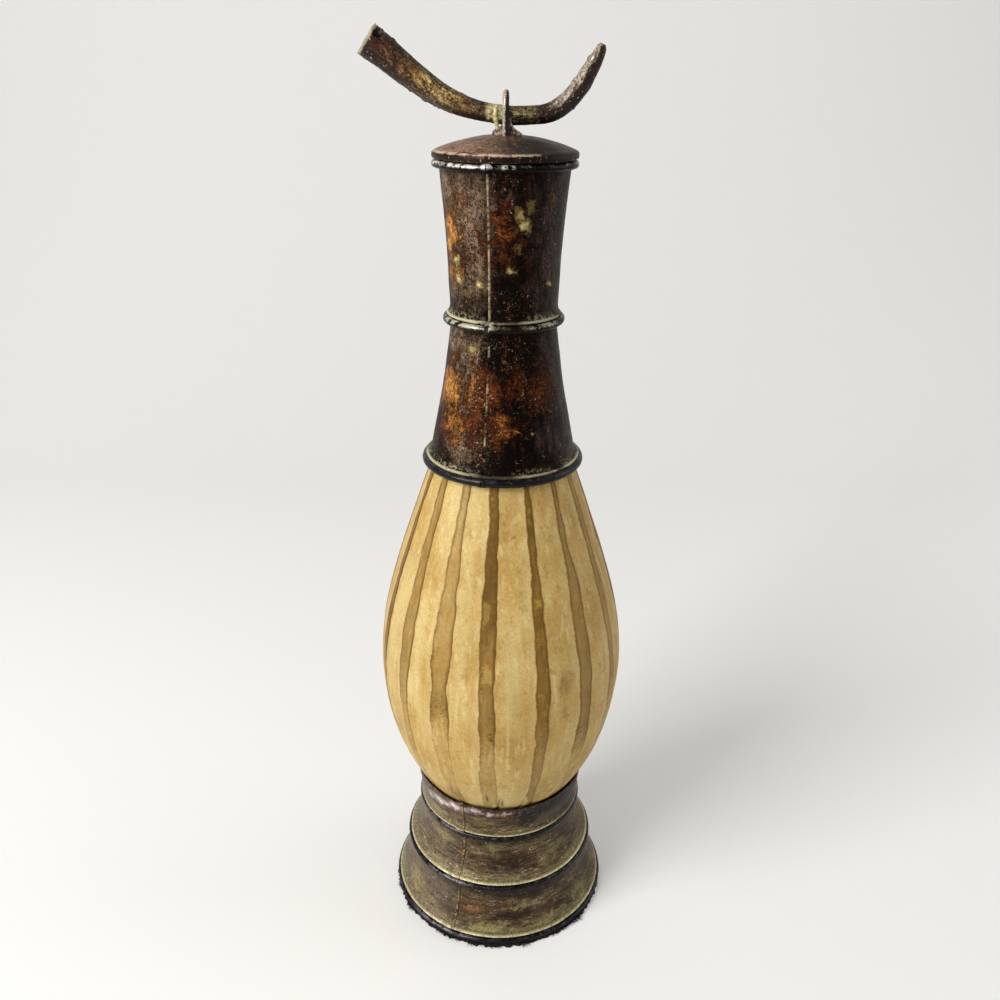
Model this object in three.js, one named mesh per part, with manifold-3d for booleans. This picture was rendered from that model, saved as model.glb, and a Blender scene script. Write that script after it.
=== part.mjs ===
// A tall lidded decanter. A teardrop body, covered in lapped parchment gores, stands in a stepped tin foot.
// It carries a two-stage tin neck, and a domed lid with a twig for a handle lifts off the mouth.
// Millimetres, +Z up. The origin is on the table, under the middle of the foot.
import * as THREE from "three";
import { mergeVertices } from "three/addons/utils/BufferGeometryUtils.js";
import Module from "manifold-3d";

// Stock and fits
const SHEET = 0.8; // thickness of the tin sheet
const SEAT = 0.3; // gap between two pieces that rest on each other
const FOOT_SEAM = THREE.MathUtils.degToRad(-25); // lapped seams, turned from the front towards the right
const NECK_SEAM = THREE.MathUtils.degToRad(-15.5);
const SEAM_STEP = THREE.MathUtils.degToRad(0.6); // width of the cut edge that shows along a seam
const WIRE_JOINT = 0.8; // gap where the two ends of a wire ring meet

// Foot: felt, base plate, and three tin tiers that each stand on a wire ring
const FELT_THICK = 2.0;
const FELT_INSET = 0.6; // the felt ends this far inside the outer edge of the foot ring
const BASE_PLATE_THICK = 1.2;
const FOOT_WIRE = 1.7; // radius of the wire in the foot's three rings
const FOOT_RING_R = 71.9; // radii of the foot's rings, at the middle of the wire
const MIDDLE_RING_R = 62.9;
const LOWER_SKIRT_RISE = 37.2; // height from the foot ring to the middle ring
const MIDDLE_SKIRT_RISE = 34.2; // height from the middle ring to the collar ring
const LOWER_SKIRT_BEND = new THREE.Vector2(0.9, 13.0); // how far the flare's bend lies outside the top and above the lip
const MIDDLE_SKIRT_BEND = new THREE.Vector2(1.0, 11.0);
const COLLAR_HEIGHT = 24.2;
const COLLAR_TOP_R = 56.2; // outside radius of the collar at its top edge
const COLLAR_TAPER = 2.4; // how much narrower its ring and its waist are
const COLLAR_RING_R = COLLAR_TOP_R - COLLAR_TAPER;
const COLLAR_WAIST_RISE = 5.0; // height of the waist above the lip

// Body: an earthenware core under parchment
const BODY_R = 77.3; // radius of the parchment at the widest place
const BODY_DEPTH = 122; // from the widest place to the point that the lower curve runs to
const BODY_RISE = 134; // from the widest place to the shoulder
const SHOULDER_R = 42.6;
const SHOULDER_SLOPE = 0.345; // radius lost for each millimetre of height at the shoulder
const BELLY_PULL = 36; // lengths of the two handles of the curve from belly to shoulder
const SHOULDER_PULL = 60;
const GORES = 16;
const GORE_ANGLE = THREE.MathUtils.degToRad(-8.25); // where the first gore starts, turned from the front
const PARCHMENT = 0.7;
const SKIN_GAP = 0.2; // glue line under the parchment and inside each lap
const GORE_TUCK_LOW = 10; // how far the gores run down inside the collar
const GORE_TUCK_HIGH = 6; // and up inside the neck
const CORE_WALL = 3.5;
const CORE_FOOT_DROP = 18.5; // from the collar's top edge down to the flat bottom of the core
const CORE_SPIGOT = 14; // height of the core's open mouth above the shoulder

// Neck: a cone and a tube, with a ring at each end of both
const SHOULDER_WIRE = 2.4;
const SHOULDER_RING_R = 45.7;
const CONE_RISE = 83.9; // height from the shoulder ring to the waist ring
const CONE_FLARE_RISE = 10.9; // height of the flare above the shoulder ring
const CONE_FOOT_R = 41.7; // outside radius of the cone where its flare ends
const CONE_MIDDLE_R = 34.9; // outside radius half way up the wall above the flare
const WAIST_WIRE = 2.1;
const WAIST_RING_R = 32.4;
const TUBE_RISE = 82.6; // height from the waist ring to the mouth ring
const TUBE_FLARE_RISE = 7.5; // height of the tube's lower flare above the waist ring
const TUBE_FOOT_R = 30.5;
const TUBE_MIDDLE_R = 32.1;
const MOUTH_WIRE = 1.9;
const MOUTH_EDGE = 0.5; // the tube's edge stands this far above the mouth ring

// Lid: a dome over a sleeve that drops into the neck
const LID_R = 39.3; // outside radius of the lid's rim
const LID_INSET = 0.2; // the rim lies this far inside the outer edge of the mouth ring
const MOUTH_RING_R = LID_R + LID_INSET - MOUTH_WIRE;
const LID_RIM = 3.2; // height of the turned-down rim
const LID_RISE = 8.2; // height of the dome above its rim
const SLEEVE_DEPTH = 18;
const SLEEVE_CLEARANCE = 0.5; // between the sleeve and the neck, at the sleeve's lower edge

// Handle: a twig in a wire loop, soldered to the dome
const LOOP_WIRE = 1.7;
const LOOP_HEADROOM = 4.6; // free height inside the loop above the twig
const LOOP_FOOT = 7; // length of each end of the loop, turned out under the dome
const TWIG_LIFT = 4.4; // gap between the dome and the underside of the twig
const SOLDER_REACH = 7; // half the length of the solder along the twig
const KNOT_R = 2.3; // radius of the knot hole near the twig's cut end
const KNOT_PLACE = 0.045; // its place along the twig, from 0 at the cut end to 1 at the tip
const TWIG_REACH = 70.9; // from the loop to the cut end, sideways
const TWIG_RISE = 35.6; // height of the cut end above the lowest stretch
const TWIG_R = 8.4; // radius at the cut end
const TWIG = [
  // places along the middle line, as shares of the reach and the rise, and of the radius for depth and thickness
  { side: -1, lift: 1, depth: -0.24, thick: 1 },
  { side: -0.869, lift: 0.815, depth: -0.17, thick: 0.94 },
  { side: -0.728, lift: 0.593, depth: -0.07, thick: 0.857 },
  { side: -0.553, lift: 0.351, depth: 0.05, thick: 0.762 },
  { side: -0.371, lift: 0.166, depth: 0.1, thick: 0.667 },
  { side: -0.185, lift: 0.056, depth: 0.05, thick: 0.571 },
  { side: 0, lift: 0, depth: 0, thick: 0.56 },
  { side: 0.169, lift: 0.006, depth: 0.02, thick: 0.56 },
  { side: 0.317, lift: 0.039, depth: 0.05, thick: 0.571 },
  { side: 0.444, lift: 0.185, depth: 0.02, thick: 0.595 },
  { side: 0.542, lift: 0.402, depth: -0.05, thick: 0.56 },
  { side: 0.626, lift: 0.688, depth: -0.12, thick: 0.488 },
  { side: 0.685, lift: 0.916, depth: -0.17, thick: 0.345 },
  { side: 0.704, lift: 0.983, depth: -0.19, thick: 0.262 },
];

// Facets
const TURN = 2 * Math.PI;
const TIN_SEGMENTS = 28; // facets round every tin piece and ring
const FLAT = Math.cos(Math.PI / TIN_SEGMENTS); // radius at the middle of such a facet, as a share of its corners'
const WIRE_SIDES = 8;
const CURVE_STEPS = 4; // straight pieces in each curved stretch of a tin profile
const WALL_STEPS = 3; // straight pieces in the nearly straight walls of the neck
const GORE_COLUMNS = 3; // facets across one gore, the last of them under its neighbour
const BODY_SEGMENTS = GORES * GORE_COLUMNS;
const BODY_STEPS = 5; // straight pieces in each half of the body's profile
const TWIG_STEPS = 22;
const TWIG_SIDES = 10;
const LOOP_STEPS = 28;

const wasm = await Module();
wasm.setup();

// Materials
const paint = (color, roughness, metalness) => new THREE.MeshStandardMaterial({ color, roughness, metalness });
const NECK_TIN = paint(0x3a2418, 0.38, 0.6);
const FOOT_TIN = paint(0x55483a, 0.45, 0.5);
const BLACK_WIRE = paint(0x1a1613, 0.4, 0.6);
const DRAWN_WIRE = paint(0x6a5c44, 0.45, 0.6);
const LID_TIN = paint(0x6b4630, 0.4, 0.6);
const PARCHMENT_SKIN = paint(0xcdb173, 0.5, 0);
const EARTHENWARE = paint(0x9a5b3c, 0.9, 0);
const FELT = paint(0x121212, 1, 0);
const TWIG_PAINT = paint(0x5a4028, 0.55, 0.3);
const SOLDER = paint(0xb9ab86, 0.4, 0.8);

// Geometry helpers

// A point of a round piece. The angle is measured from the front, towards the right.
const polar = (radius, angle, height) =>
  new THREE.Vector3(radius * Math.sin(angle), -radius * Math.cos(angle), height);
const at = (radius, height) => new THREE.Vector2(radius, height);

function signedVolume(positions, index) {
  const corner = (i) => new THREE.Vector3().fromArray(positions, 3 * i);
  let sum = 0;
  for (let i = 0; i < index.length; i += 3) {
    sum += corner(index[i]).dot(corner(index[i + 1]).cross(corner(index[i + 2])));
  }
  return sum / 6;
}

// Joins equal closed sections into one solid. The row of sections closes on itself, or gets a cap at each end.
function loft(sections, closed) {
  const count = sections[0].length;
  const positions = sections.flat().flatMap((p) => p.toArray());
  const index = [];
  const quad = (a, b, c, d) => index.push(a, b, c, a, c, d);
  const spans = closed ? sections.length : sections.length - 1;
  for (let i = 0; i < spans; i++) {
    const here = i * count;
    const next = ((i + 1) % sections.length) * count;
    for (let j = 0; j < count; j++) {
      const k = (j + 1) % count;
      quad(here + j, here + k, next + k, next + j);
    }
  }
  if (!closed) {
    const end = (sections.length - 1) * count;
    for (let j = 0; j < count / 2 - 1; j++) {
      const far = count - 1 - j;
      quad(j, far, far - 1, j + 1);
      quad(end + j, end + j + 1, end + far - 1, end + far);
    }
  }
  if (signedVolume(positions, index) < 0) index.reverse();
  const geometry = new THREE.BufferGeometry();
  geometry.setAttribute("position", new THREE.Float32BufferAttribute(positions, 3));
  geometry.setIndex(index);
  geometry.computeVertexNormals();
  return geometry;
}

// A profile moved sideways by a distance: positive to the right of its direction.
function offset(profile, distance) {
  const side = (a, b) => new THREE.Vector2(b.y - a.y, a.x - b.x).normalize();
  return profile.map((p, i) => {
    const before = i > 0 ? side(profile[i - 1], p) : side(p, profile[i + 1]);
    const after = i < profile.length - 1 ? side(p, profile[i + 1]) : before;
    const mitre = before.clone().add(after).normalize();
    return p.clone().addScaledVector(mitre, distance / mitre.dot(after));
  });
}

function radiusAt(profile, height) {
  const i = Math.max(1, profile.findIndex((p) => p.y >= height));
  const [a, b] = [profile[i - 1], profile[i]];
  return THREE.MathUtils.mapLinear(height, a.y, b.y, a.x, b.x);
}

// A solid of revolution. LatheGeometry turns about Y, so it is tipped up to stand along Z.
function turned(profile, segments) {
  return new THREE.LatheGeometry(profile, segments).rotateX(Math.PI / 2);
}

// A round wire bent along a path.
function wire(path, radius, steps) {
  const section = Array.from({ length: WIRE_SIDES }, (_, i) => {
    const turn = (i * TURN) / WIRE_SIDES;
    return new THREE.Vector2(radius * Math.cos(turn), radius * Math.sin(turn));
  });
  return new THREE.ExtrudeGeometry(new THREE.Shape(section), { extrudePath: path, steps });
}

function asSolid(geometry) {
  const bare = geometry.clone();
  bare.deleteAttribute("normal");
  bare.deleteAttribute("uv");
  const merged = mergeVertices(bare, 1e-4);
  return new wasm.Manifold(
    new wasm.Mesh({
      numProp: 3,
      vertProperties: new Float32Array(merged.attributes.position.array),
      triVerts: new Uint32Array(merged.index.array),
    }),
  );
}

function asGeometry(solid) {
  const mesh = solid.getMesh();
  const geometry = new THREE.BufferGeometry();
  geometry.setAttribute("position", new THREE.Float32BufferAttribute(mesh.vertProperties, 3));
  geometry.setIndex(Array.from(mesh.triVerts));
  geometry.computeVertexNormals();
  return geometry;
}

function cut(geometry, ...tools) {
  return asGeometry(tools.reduce((left, tool) => left.subtract(asSolid(tool)), asSolid(geometry)));
}

const decanter = new THREE.Group();
function add(name, geometry, material) {
  const mesh = new THREE.Mesh(geometry, material);
  mesh.name = name;
  decanter.add(mesh);
}

// Rings and tin tiers

class RingPath extends THREE.Curve {
  constructor(radius, height, joint) {
    super();
    Object.assign(this, { radius, height, joint });
  }

  getPoint(t, target = new THREE.Vector3()) {
    const gap = WIRE_JOINT / this.radius;
    return target.copy(polar(this.radius, this.joint + gap / 2 + t * (TURN - gap), this.height));
  }
}

function addRing(name, radius, height, wireRadius, joint, material) {
  add(name, wire(new RingPath(radius, height, joint), wireRadius, TIN_SEGMENTS), material);
}

// A tier is a sheet rolled round and lapped at the seam. Its outer profile runs from the lip up to the top edge.
// The lap is planed away at the lip and inside the ring that grips the top.
function addTier(name, outer, seam, material) {
  const inner = offset(outer, -SHEET);
  const columns = [];
  for (let i = 0; i < TIN_SEGMENTS; i++) {
    columns.push({ angle: seam + (i * TURN) / TIN_SEGMENTS, lap: 0 });
  }
  columns.push({ angle: seam + TURN - SEAM_STEP, lap: SHEET });
  const lapped = (row) => row > 0 && row < outer.length - 2;
  const sections = columns.map(({ angle, lap }) => [
    ...outer.map((p, row) => polar(p.x + (lapped(row) ? lap : 0), angle, p.y)),
    ...inner.map((p) => polar(p.x, angle, p.y)).reverse(),
  ]);
  add(name, loft(sections, true), material);
}

// The lip of a tier lies on its ring. The point given is on the lip's upper side.
const lipOn = (radius, ringHeight, wireRadius) => at(radius, ringHeight + wireRadius + SEAT + SHEET);

// The straight end of a tier, gripped by the ring above it, up to the level of the ring's top.
const gripIn = (ringRadius, ringHeight, wireRadius) => {
  const radius = ringRadius - wireRadius - SEAT;
  return [at(radius, ringHeight - wireRadius - SEAT), at(radius, ringHeight + wireRadius)];
};

// A skirt swells from the ring above it to the lip on its own ring.
function skirtProfile(lip, grip, bend) {
  const control = at(grip[0].x + bend.x, lip.y + bend.y);
  return [...new THREE.QuadraticBezierCurve(lip, control, grip[0]).getPoints(CURVE_STEPS), grip[1]];
}

// Foot

const footRingZ = FELT_THICK + SEAT + FOOT_WIRE;
const middleRingZ = footRingZ + LOWER_SKIRT_RISE;
const collarRingZ = middleRingZ + MIDDLE_SKIRT_RISE;

const feltEdge = FOOT_RING_R + FOOT_WIRE - FELT_INSET;
add(
  "felt_pad",
  turned([at(0, 0), at(feltEdge, 0), at(feltEdge, FELT_THICK), at(0, FELT_THICK)], TIN_SEGMENTS),
  FELT,
);

const plateR = FOOT_RING_R - FOOT_WIRE - SEAT;
const plateZ = FELT_THICK + SEAT;
add(
  "base_plate",
  turned(
    [
      at(0, plateZ),
      at(plateR, plateZ),
      at(plateR, plateZ + BASE_PLATE_THICK),
      at(0, plateZ + BASE_PLATE_THICK),
    ],
    TIN_SEGMENTS,
  ),
  FOOT_TIN,
);

addRing("foot_ring", FOOT_RING_R, footRingZ, FOOT_WIRE, FOOT_SEAM, BLACK_WIRE);
addRing("middle_ring", MIDDLE_RING_R, middleRingZ, FOOT_WIRE, FOOT_SEAM, BLACK_WIRE);
// The joint of the collar's ring shows at the front, two facets from the seam.
addRing("collar_ring", COLLAR_RING_R, collarRingZ, FOOT_WIRE, FOOT_SEAM + (2 * TURN) / TIN_SEGMENTS, BLACK_WIRE);

addTier(
  "lower_skirt",
  skirtProfile(
    lipOn(FOOT_RING_R, footRingZ, FOOT_WIRE),
    gripIn(MIDDLE_RING_R, middleRingZ, FOOT_WIRE),
    LOWER_SKIRT_BEND,
  ),
  FOOT_SEAM,
  FOOT_TIN,
);
addTier(
  "middle_skirt",
  skirtProfile(
    lipOn(MIDDLE_RING_R, middleRingZ, FOOT_WIRE),
    gripIn(COLLAR_RING_R, collarRingZ, FOOT_WIRE),
    MIDDLE_SKIRT_BEND,
  ),
  FOOT_SEAM,
  FOOT_TIN,
);

const collarLip = lipOn(COLLAR_RING_R + FOOT_WIRE / 2, collarRingZ, FOOT_WIRE);
const collarTopZ = collarLip.y + COLLAR_HEIGHT - SHEET;
const collarWall = new THREE.SplineCurve([
  collarLip,
  at(COLLAR_RING_R, collarLip.y + COLLAR_WAIST_RISE),
  at((COLLAR_RING_R + COLLAR_TOP_R) / 2, (collarLip.y + COLLAR_WAIST_RISE + collarTopZ) / 2),
  at(COLLAR_TOP_R, collarTopZ),
]);
addTier("collar", collarWall.getPoints(CURVE_STEPS), FOOT_SEAM, FOOT_TIN);

// Body

// The body drops into the collar until the laps of its parchment meet the collar's top edge.
const lapRise = PARCHMENT + SKIN_GAP;
const seatR = (COLLAR_TOP_R - SHEET) * FLAT - SEAT - lapRise;
const belowWidest = (radius) => BODY_DEPTH * Math.sqrt(1 - (radius / BODY_R) ** 2);
const lowerRadius = (drop) => BODY_R * Math.sqrt(1 - (drop / BODY_DEPTH) ** 2);
const widestZ = collarTopZ + belowWidest(seatR);
const shoulderZ = widestZ + BODY_RISE;
const coreBottomZ = collarTopZ - CORE_FOOT_DROP;

// The outside of the parchment, from inside the collar to inside the neck.
const goreDrop = widestZ - (collarTopZ - GORE_TUCK_LOW);
const lowerHalf = Array.from({ length: BODY_STEPS }, (_, i) => {
  const turn = Math.asin(goreDrop / BODY_DEPTH) * (1 - i / BODY_STEPS);
  const drop = BODY_DEPTH * Math.sin(turn);
  return at(lowerRadius(drop), widestZ - drop);
});
const upperHalf = new THREE.CubicBezierCurve(
  at(BODY_R, widestZ),
  at(BODY_R, widestZ + BELLY_PULL),
  at(SHOULDER_R + SHOULDER_SLOPE * SHOULDER_PULL, shoulderZ - SHOULDER_PULL),
  at(SHOULDER_R, shoulderZ),
).getPoints(BODY_STEPS);
const upAlongShoulder = (rise) => at(SHOULDER_R - SHOULDER_SLOPE * rise, shoulderZ + rise);
const skinProfile = [...lowerHalf, ...upperHalf, upAlongShoulder(GORE_TUCK_HIGH)];

// The core follows the inside of the parchment, then runs on to a flat bottom and an open mouth.
const coreOutside = offset(
  [
    at(lowerRadius(widestZ - coreBottomZ), coreBottomZ),
    ...skinProfile,
    upAlongShoulder(CORE_SPIGOT),
  ],
  -(PARCHMENT + SKIN_GAP),
);
const coreWall = offset(coreOutside, -CORE_WALL);
const coreFloorZ = coreBottomZ + CORE_WALL;
const coreInside = coreWall.filter((p, i) => p.y > coreFloorZ && (coreWall.length - 1 - i) % 2 === 0);
add(
  "body_core",
  turned(
    [
      at(0, coreOutside[0].y),
      ...coreOutside,
      ...coreInside.reverse(),
      at(radiusAt(coreWall, coreFloorZ), coreFloorZ),
      at(0, coreFloorZ),
    ],
    BODY_SEGMENTS,
  ).rotateZ(GORE_ANGLE),
  EARTHENWARE,
);

// A gore lies on the core for all its columns but the last two, which ride over the first two of the next gore.
function goreGeometry(number) {
  const outside = skinProfile;
  const inside = offset(skinProfile, -PARCHMENT);
  const lapOutside = offset(skinProfile, lapRise);
  const lapInside = offset(skinProfile, SKIN_GAP);
  const sections = Array.from({ length: GORE_COLUMNS + 2 }, (_, column) => {
    const angle = GORE_ANGLE + ((number * GORE_COLUMNS + column) * TURN) / BODY_SEGMENTS;
    const lap = column >= GORE_COLUMNS;
    return [
      ...(lap ? lapOutside : outside).map((p) => polar(p.x, angle, p.y)),
      ...(lap ? lapInside : inside).map((p) => polar(p.x, angle, p.y)).reverse(),
    ];
  });
  return loft(sections, false);
}
for (let number = 0; number < GORES; number++) {
  add(`gore_${String(number + 1).padStart(2, "0")}`, goreGeometry(number), PARCHMENT_SKIN);
}

// Neck

// The shoulder ring comes down until it meets the laps on the slope of the shoulder.
const slopeLength = Math.hypot(1, SHOULDER_SLOPE);
const shoulderRingZ =
  shoulderZ +
  (slopeLength * (SHOULDER_WIRE + lapRise + SEAT) - (SHOULDER_RING_R * FLAT - SHOULDER_R)) / SHOULDER_SLOPE;
const waistRingZ = shoulderRingZ + CONE_RISE;
const mouthRingZ = waistRingZ + TUBE_RISE;

addRing("shoulder_ring", SHOULDER_RING_R, shoulderRingZ, SHOULDER_WIRE, NECK_SEAM, BLACK_WIRE);
addRing("waist_ring", WAIST_RING_R, waistRingZ, WAIST_WIRE, NECK_SEAM, DRAWN_WIRE);
addRing("mouth_ring", MOUTH_RING_R, mouthRingZ, MOUTH_WIRE, NECK_SEAM, DRAWN_WIRE);

const coneFoot = at(CONE_FOOT_R, shoulderRingZ + CONE_FLARE_RISE);
const coneGrip = gripIn(WAIST_RING_R, waistRingZ, WAIST_WIRE);
const coneLip = lipOn(SHOULDER_RING_R, shoulderRingZ, SHOULDER_WIRE);
const coneFlare = new THREE.QuadraticBezierCurve(coneLip, at(CONE_FOOT_R + SHEET, coneLip.y + SHEET), coneFoot);
const coneWall = new THREE.SplineCurve([
  coneFoot,
  at(CONE_MIDDLE_R, (coneFoot.y + coneGrip[0].y) / 2),
  coneGrip[0],
]);
addTier(
  "neck_cone",
  [...coneFlare.getPoints(WALL_STEPS), ...coneWall.getPoints(WALL_STEPS).slice(1), coneGrip[1]],
  NECK_SEAM,
  NECK_TIN,
);

const tubeLip = lipOn(WAIST_RING_R, waistRingZ, WAIST_WIRE);
const tubeFoot = at(TUBE_FOOT_R, waistRingZ + TUBE_FLARE_RISE);
const tubeGrip = gripIn(MOUTH_RING_R, mouthRingZ, MOUTH_WIRE);
const mouthZ = mouthRingZ + MOUTH_WIRE + MOUTH_EDGE;
const tubeFlare = new THREE.QuadraticBezierCurve(tubeLip, at(TUBE_FOOT_R + SHEET / 2, tubeLip.y + SHEET), tubeFoot);
const tubeWall = new THREE.SplineCurve([
  tubeFoot,
  at(TUBE_MIDDLE_R, (tubeFoot.y + tubeGrip[0].y) / 2),
  tubeGrip[0],
]);
const tubeOutside = [
  ...tubeFlare.getPoints(WALL_STEPS),
  ...tubeWall.getPoints(WALL_STEPS).slice(1),
  at(tubeGrip[1].x, mouthZ),
];
addTier("neck_tube", tubeOutside, NECK_SEAM, NECK_TIN);

// Lid

// The sleeve's flange lies on the edge of the mouth, inside the rim of the dome.
const flangeZ = mouthZ + SEAT;
const rimZ = flangeZ + SEAT;
const sleeveEndZ = flangeZ - SLEEVE_DEPTH;
const sleeveR = radiusAt(offset(tubeOutside, -SHEET), sleeveEndZ) - SLEEVE_CLEARANCE;
const flangeR = LID_R - SHEET - SEAT;
add(
  "lid_sleeve",
  turned(
    [
      at(sleeveR - SHEET, sleeveEndZ),
      at(sleeveR, sleeveEndZ),
      at(sleeveR, flangeZ),
      at(flangeR, flangeZ),
      at(flangeR, flangeZ + SHEET),
      at(sleeveR - SHEET, flangeZ + SHEET),
      at(sleeveR - SHEET, sleeveEndZ),
    ],
    TIN_SEGMENTS,
  ),
  LID_TIN,
);

// The dome is part of a sphere over a straight rim with a rounded edge.
const domeEdgeZ = rimZ + LID_RIM;
const domeBall = (LID_R ** 2 + LID_RISE ** 2) / (2 * LID_RISE);
const domeTopZ = domeEdgeZ + LID_RISE;
const domeHeight = (radius) => domeTopZ - domeBall + Math.sqrt(domeBall ** 2 - radius ** 2);
const domeUnderside = (radius) =>
  domeTopZ - domeBall + Math.sqrt((domeBall - SHEET) ** 2 - radius ** 2);
const domeOutside = [
  at(LID_R - SHEET / 2, rimZ),
  at(LID_R, rimZ + SHEET / 2),
  ...Array.from({ length: CURVE_STEPS }, (_, i) => {
    const radius = LID_R * (1 - i / CURVE_STEPS);
    return at(radius, domeHeight(radius));
  }),
  at(0, domeTopZ),
];
const domeInside = [
  ...Array.from({ length: CURVE_STEPS }, (_, i) => {
    const radius = ((LID_R - SHEET) * i) / CURVE_STEPS;
    return at(radius, domeUnderside(radius));
  }),
  at(LID_R - SHEET, domeUnderside(LID_R - SHEET)),
  at(LID_R - SHEET, rimZ),
];
const domeShell = turned([...domeInside, ...domeOutside], TIN_SEGMENTS);

// Handle

const twigGripR = TWIG_R * TWIG.find((place) => place.side === 0).thick;
const twigZ = domeTopZ + TWIG_LIFT + twigGripR;
const twigPath = new THREE.CatmullRomCurve3(
  TWIG.map(
    ({ side, depth, lift }) =>
      new THREE.Vector3(side * TWIG_REACH, depth * TWIG_R, twigZ + lift * TWIG_RISE),
  ),
);
const twigRadii = new THREE.SplineCurve(TWIG.map(({ thick }, i) => new THREE.Vector2(i, thick * TWIG_R)));

// The twig is round in section, thickest at its cut end. Extra thickness makes room for the pieces that touch it.
function twigGeometry(extra) {
  const frames = twigPath.computeFrenetFrames(TWIG_STEPS, false);
  const sections = Array.from({ length: TWIG_STEPS + 1 }, (_, i) => {
    const along = twigPath.getUtoTmapping(i / TWIG_STEPS);
    const radius = twigRadii.getPoint(along).y + extra;
    return Array.from({ length: TWIG_SIDES }, (_, j) => {
      const turn = (j * TURN) / TWIG_SIDES;
      return twigPath
        .getPoint(along)
        .addScaledVector(frames.normals[i], radius * Math.cos(turn))
        .addScaledVector(frames.binormals[i], radius * Math.sin(turn));
    });
  });
  return loft(sections, false);
}
const knotAlong = twigPath.getTangentAt(KNOT_PLACE);
const knotOut = new THREE.Vector3(0, -1, 0).cross(knotAlong).cross(knotAlong).negate().normalize();
const knotCentre = twigPath.getPointAt(KNOT_PLACE).addScaledVector(knotOut, TWIG_R * 0.9);
const knotHole = new THREE.SphereGeometry(KNOT_R, 10, 6).translate(...knotCentre.toArray());
add("twig", cut(twigGeometry(0), knotHole), TWIG_PAINT);

// The loop stands astride the twig. Its legs go through the dome, and its ends are turned out underneath.
const legY = twigGripR + SEAT + LOOP_WIRE;
const archZ = twigZ + twigGripR + LOOP_HEADROOM + LOOP_WIRE - legY;
const footReach = legY + LOOP_FOOT;
const loopFootZ = domeUnderside(footReach) - SEAT - LOOP_WIRE;
const turnR = LOOP_WIRE * 1.5;
const legPoints = [
  new THREE.Vector3(0, footReach, loopFootZ),
  new THREE.Vector3(0, legY + turnR, loopFootZ),
  new THREE.Vector3(0, legY + turnR * 0.3, loopFootZ + turnR * 0.3),
  new THREE.Vector3(0, legY, loopFootZ + turnR),
  new THREE.Vector3(0, legY, (loopFootZ + turnR + archZ) / 2),
];
const ARCH_POINTS = 7;
const archPoints = Array.from({ length: ARCH_POINTS }, (_, i) => {
  const turn = (i * Math.PI) / (ARCH_POINTS - 1);
  return new THREE.Vector3(0, legY * Math.cos(turn), archZ + legY * Math.sin(turn));
});
const mirrored = legPoints.map((p) => new THREE.Vector3(p.x, -p.y, p.z)).reverse();
const loopPath = new THREE.CatmullRomCurve3([...legPoints, ...archPoints, ...mirrored]);
add("handle_loop", wire(loopPath, LOOP_WIRE, LOOP_STEPS), DRAWN_WIRE);

// Two holes let the legs of the loop through the dome.
const legHole = (side) =>
  new THREE.CylinderGeometry(LOOP_WIRE + SEAT, LOOP_WIRE + SEAT, LID_RISE, WIRE_SIDES * 2)
    .rotateX(Math.PI / 2)
    .translate(0, side * legY, domeTopZ);
add("lid_dome", cut(domeShell, legHole(1), legHole(-1)), LID_TIN);

// A saddle of solder fills the gap between the dome and the twig, inside the legs of the loop.
const saddleZ = domeTopZ + SEAT;
const saddleHalfWidth = legY - LOOP_WIRE - SEAT - SEAT;
const saddleBlank = new THREE.SphereGeometry(1, 12, 8)
  .rotateX(Math.PI / 2)
  .scale(SOLDER_REACH, saddleHalfWidth, TWIG_LIFT + SEAT)
  .translate(0, 0, saddleZ + TWIG_LIFT / 2);
const domeClearance = turned(
  [at(0, rimZ), ...domeOutside.map((p) => at(p.x, p.y + SEAT))],
  TIN_SEGMENTS,
);
add("solder_saddle", cut(saddleBlank, domeClearance, twigGeometry(SEAT)), SOLDER);

export default decanter;
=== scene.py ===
# %% [markdown]
# # A lidded decanter of tin and parchment
# The real decanter is a teardrop covered in lapped parchment gores. It stands in a stepped foot of rolled
# tin, carries a neck in two stages, and is closed by a domed lid with a twig for a handle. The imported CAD
# model holds every piece at its real size. This lesson gives the pieces worked surfaces and finishes. Sizes
# are in metres, +Z is up, and the front looks towards -Y. Angles are measured from the front to the right.

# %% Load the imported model
import math

import bmesh
import bpy
from mathutils import Matrix, Vector
from mathutils.geometry import interpolate_bezier


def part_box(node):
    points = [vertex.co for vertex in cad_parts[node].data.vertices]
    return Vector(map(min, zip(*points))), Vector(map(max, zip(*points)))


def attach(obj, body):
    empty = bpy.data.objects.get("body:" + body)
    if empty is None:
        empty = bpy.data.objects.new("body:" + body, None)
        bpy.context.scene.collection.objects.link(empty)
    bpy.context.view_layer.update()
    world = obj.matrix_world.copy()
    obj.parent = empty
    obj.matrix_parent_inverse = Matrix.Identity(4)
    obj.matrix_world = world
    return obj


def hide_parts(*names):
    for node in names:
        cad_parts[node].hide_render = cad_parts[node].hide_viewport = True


MM = 0.001
TURN = 2 * math.pi

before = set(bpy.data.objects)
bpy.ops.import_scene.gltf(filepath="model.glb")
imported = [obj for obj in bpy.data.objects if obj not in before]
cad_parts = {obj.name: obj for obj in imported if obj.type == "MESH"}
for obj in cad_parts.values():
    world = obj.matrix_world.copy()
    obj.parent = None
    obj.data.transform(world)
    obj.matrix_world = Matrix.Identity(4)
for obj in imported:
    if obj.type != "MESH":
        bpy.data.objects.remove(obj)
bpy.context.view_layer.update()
scene = bpy.context.scene

# %% [markdown]
# ## The view
# The six rings are circles on one axis, so their ellipses in the picture give the camera's height, distance
# and tilt. A camera that looks down from half a metre shows the tops of all the rings. It is placed with
# one matrix: move, then tilt, then roll about its own line of sight.

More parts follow.
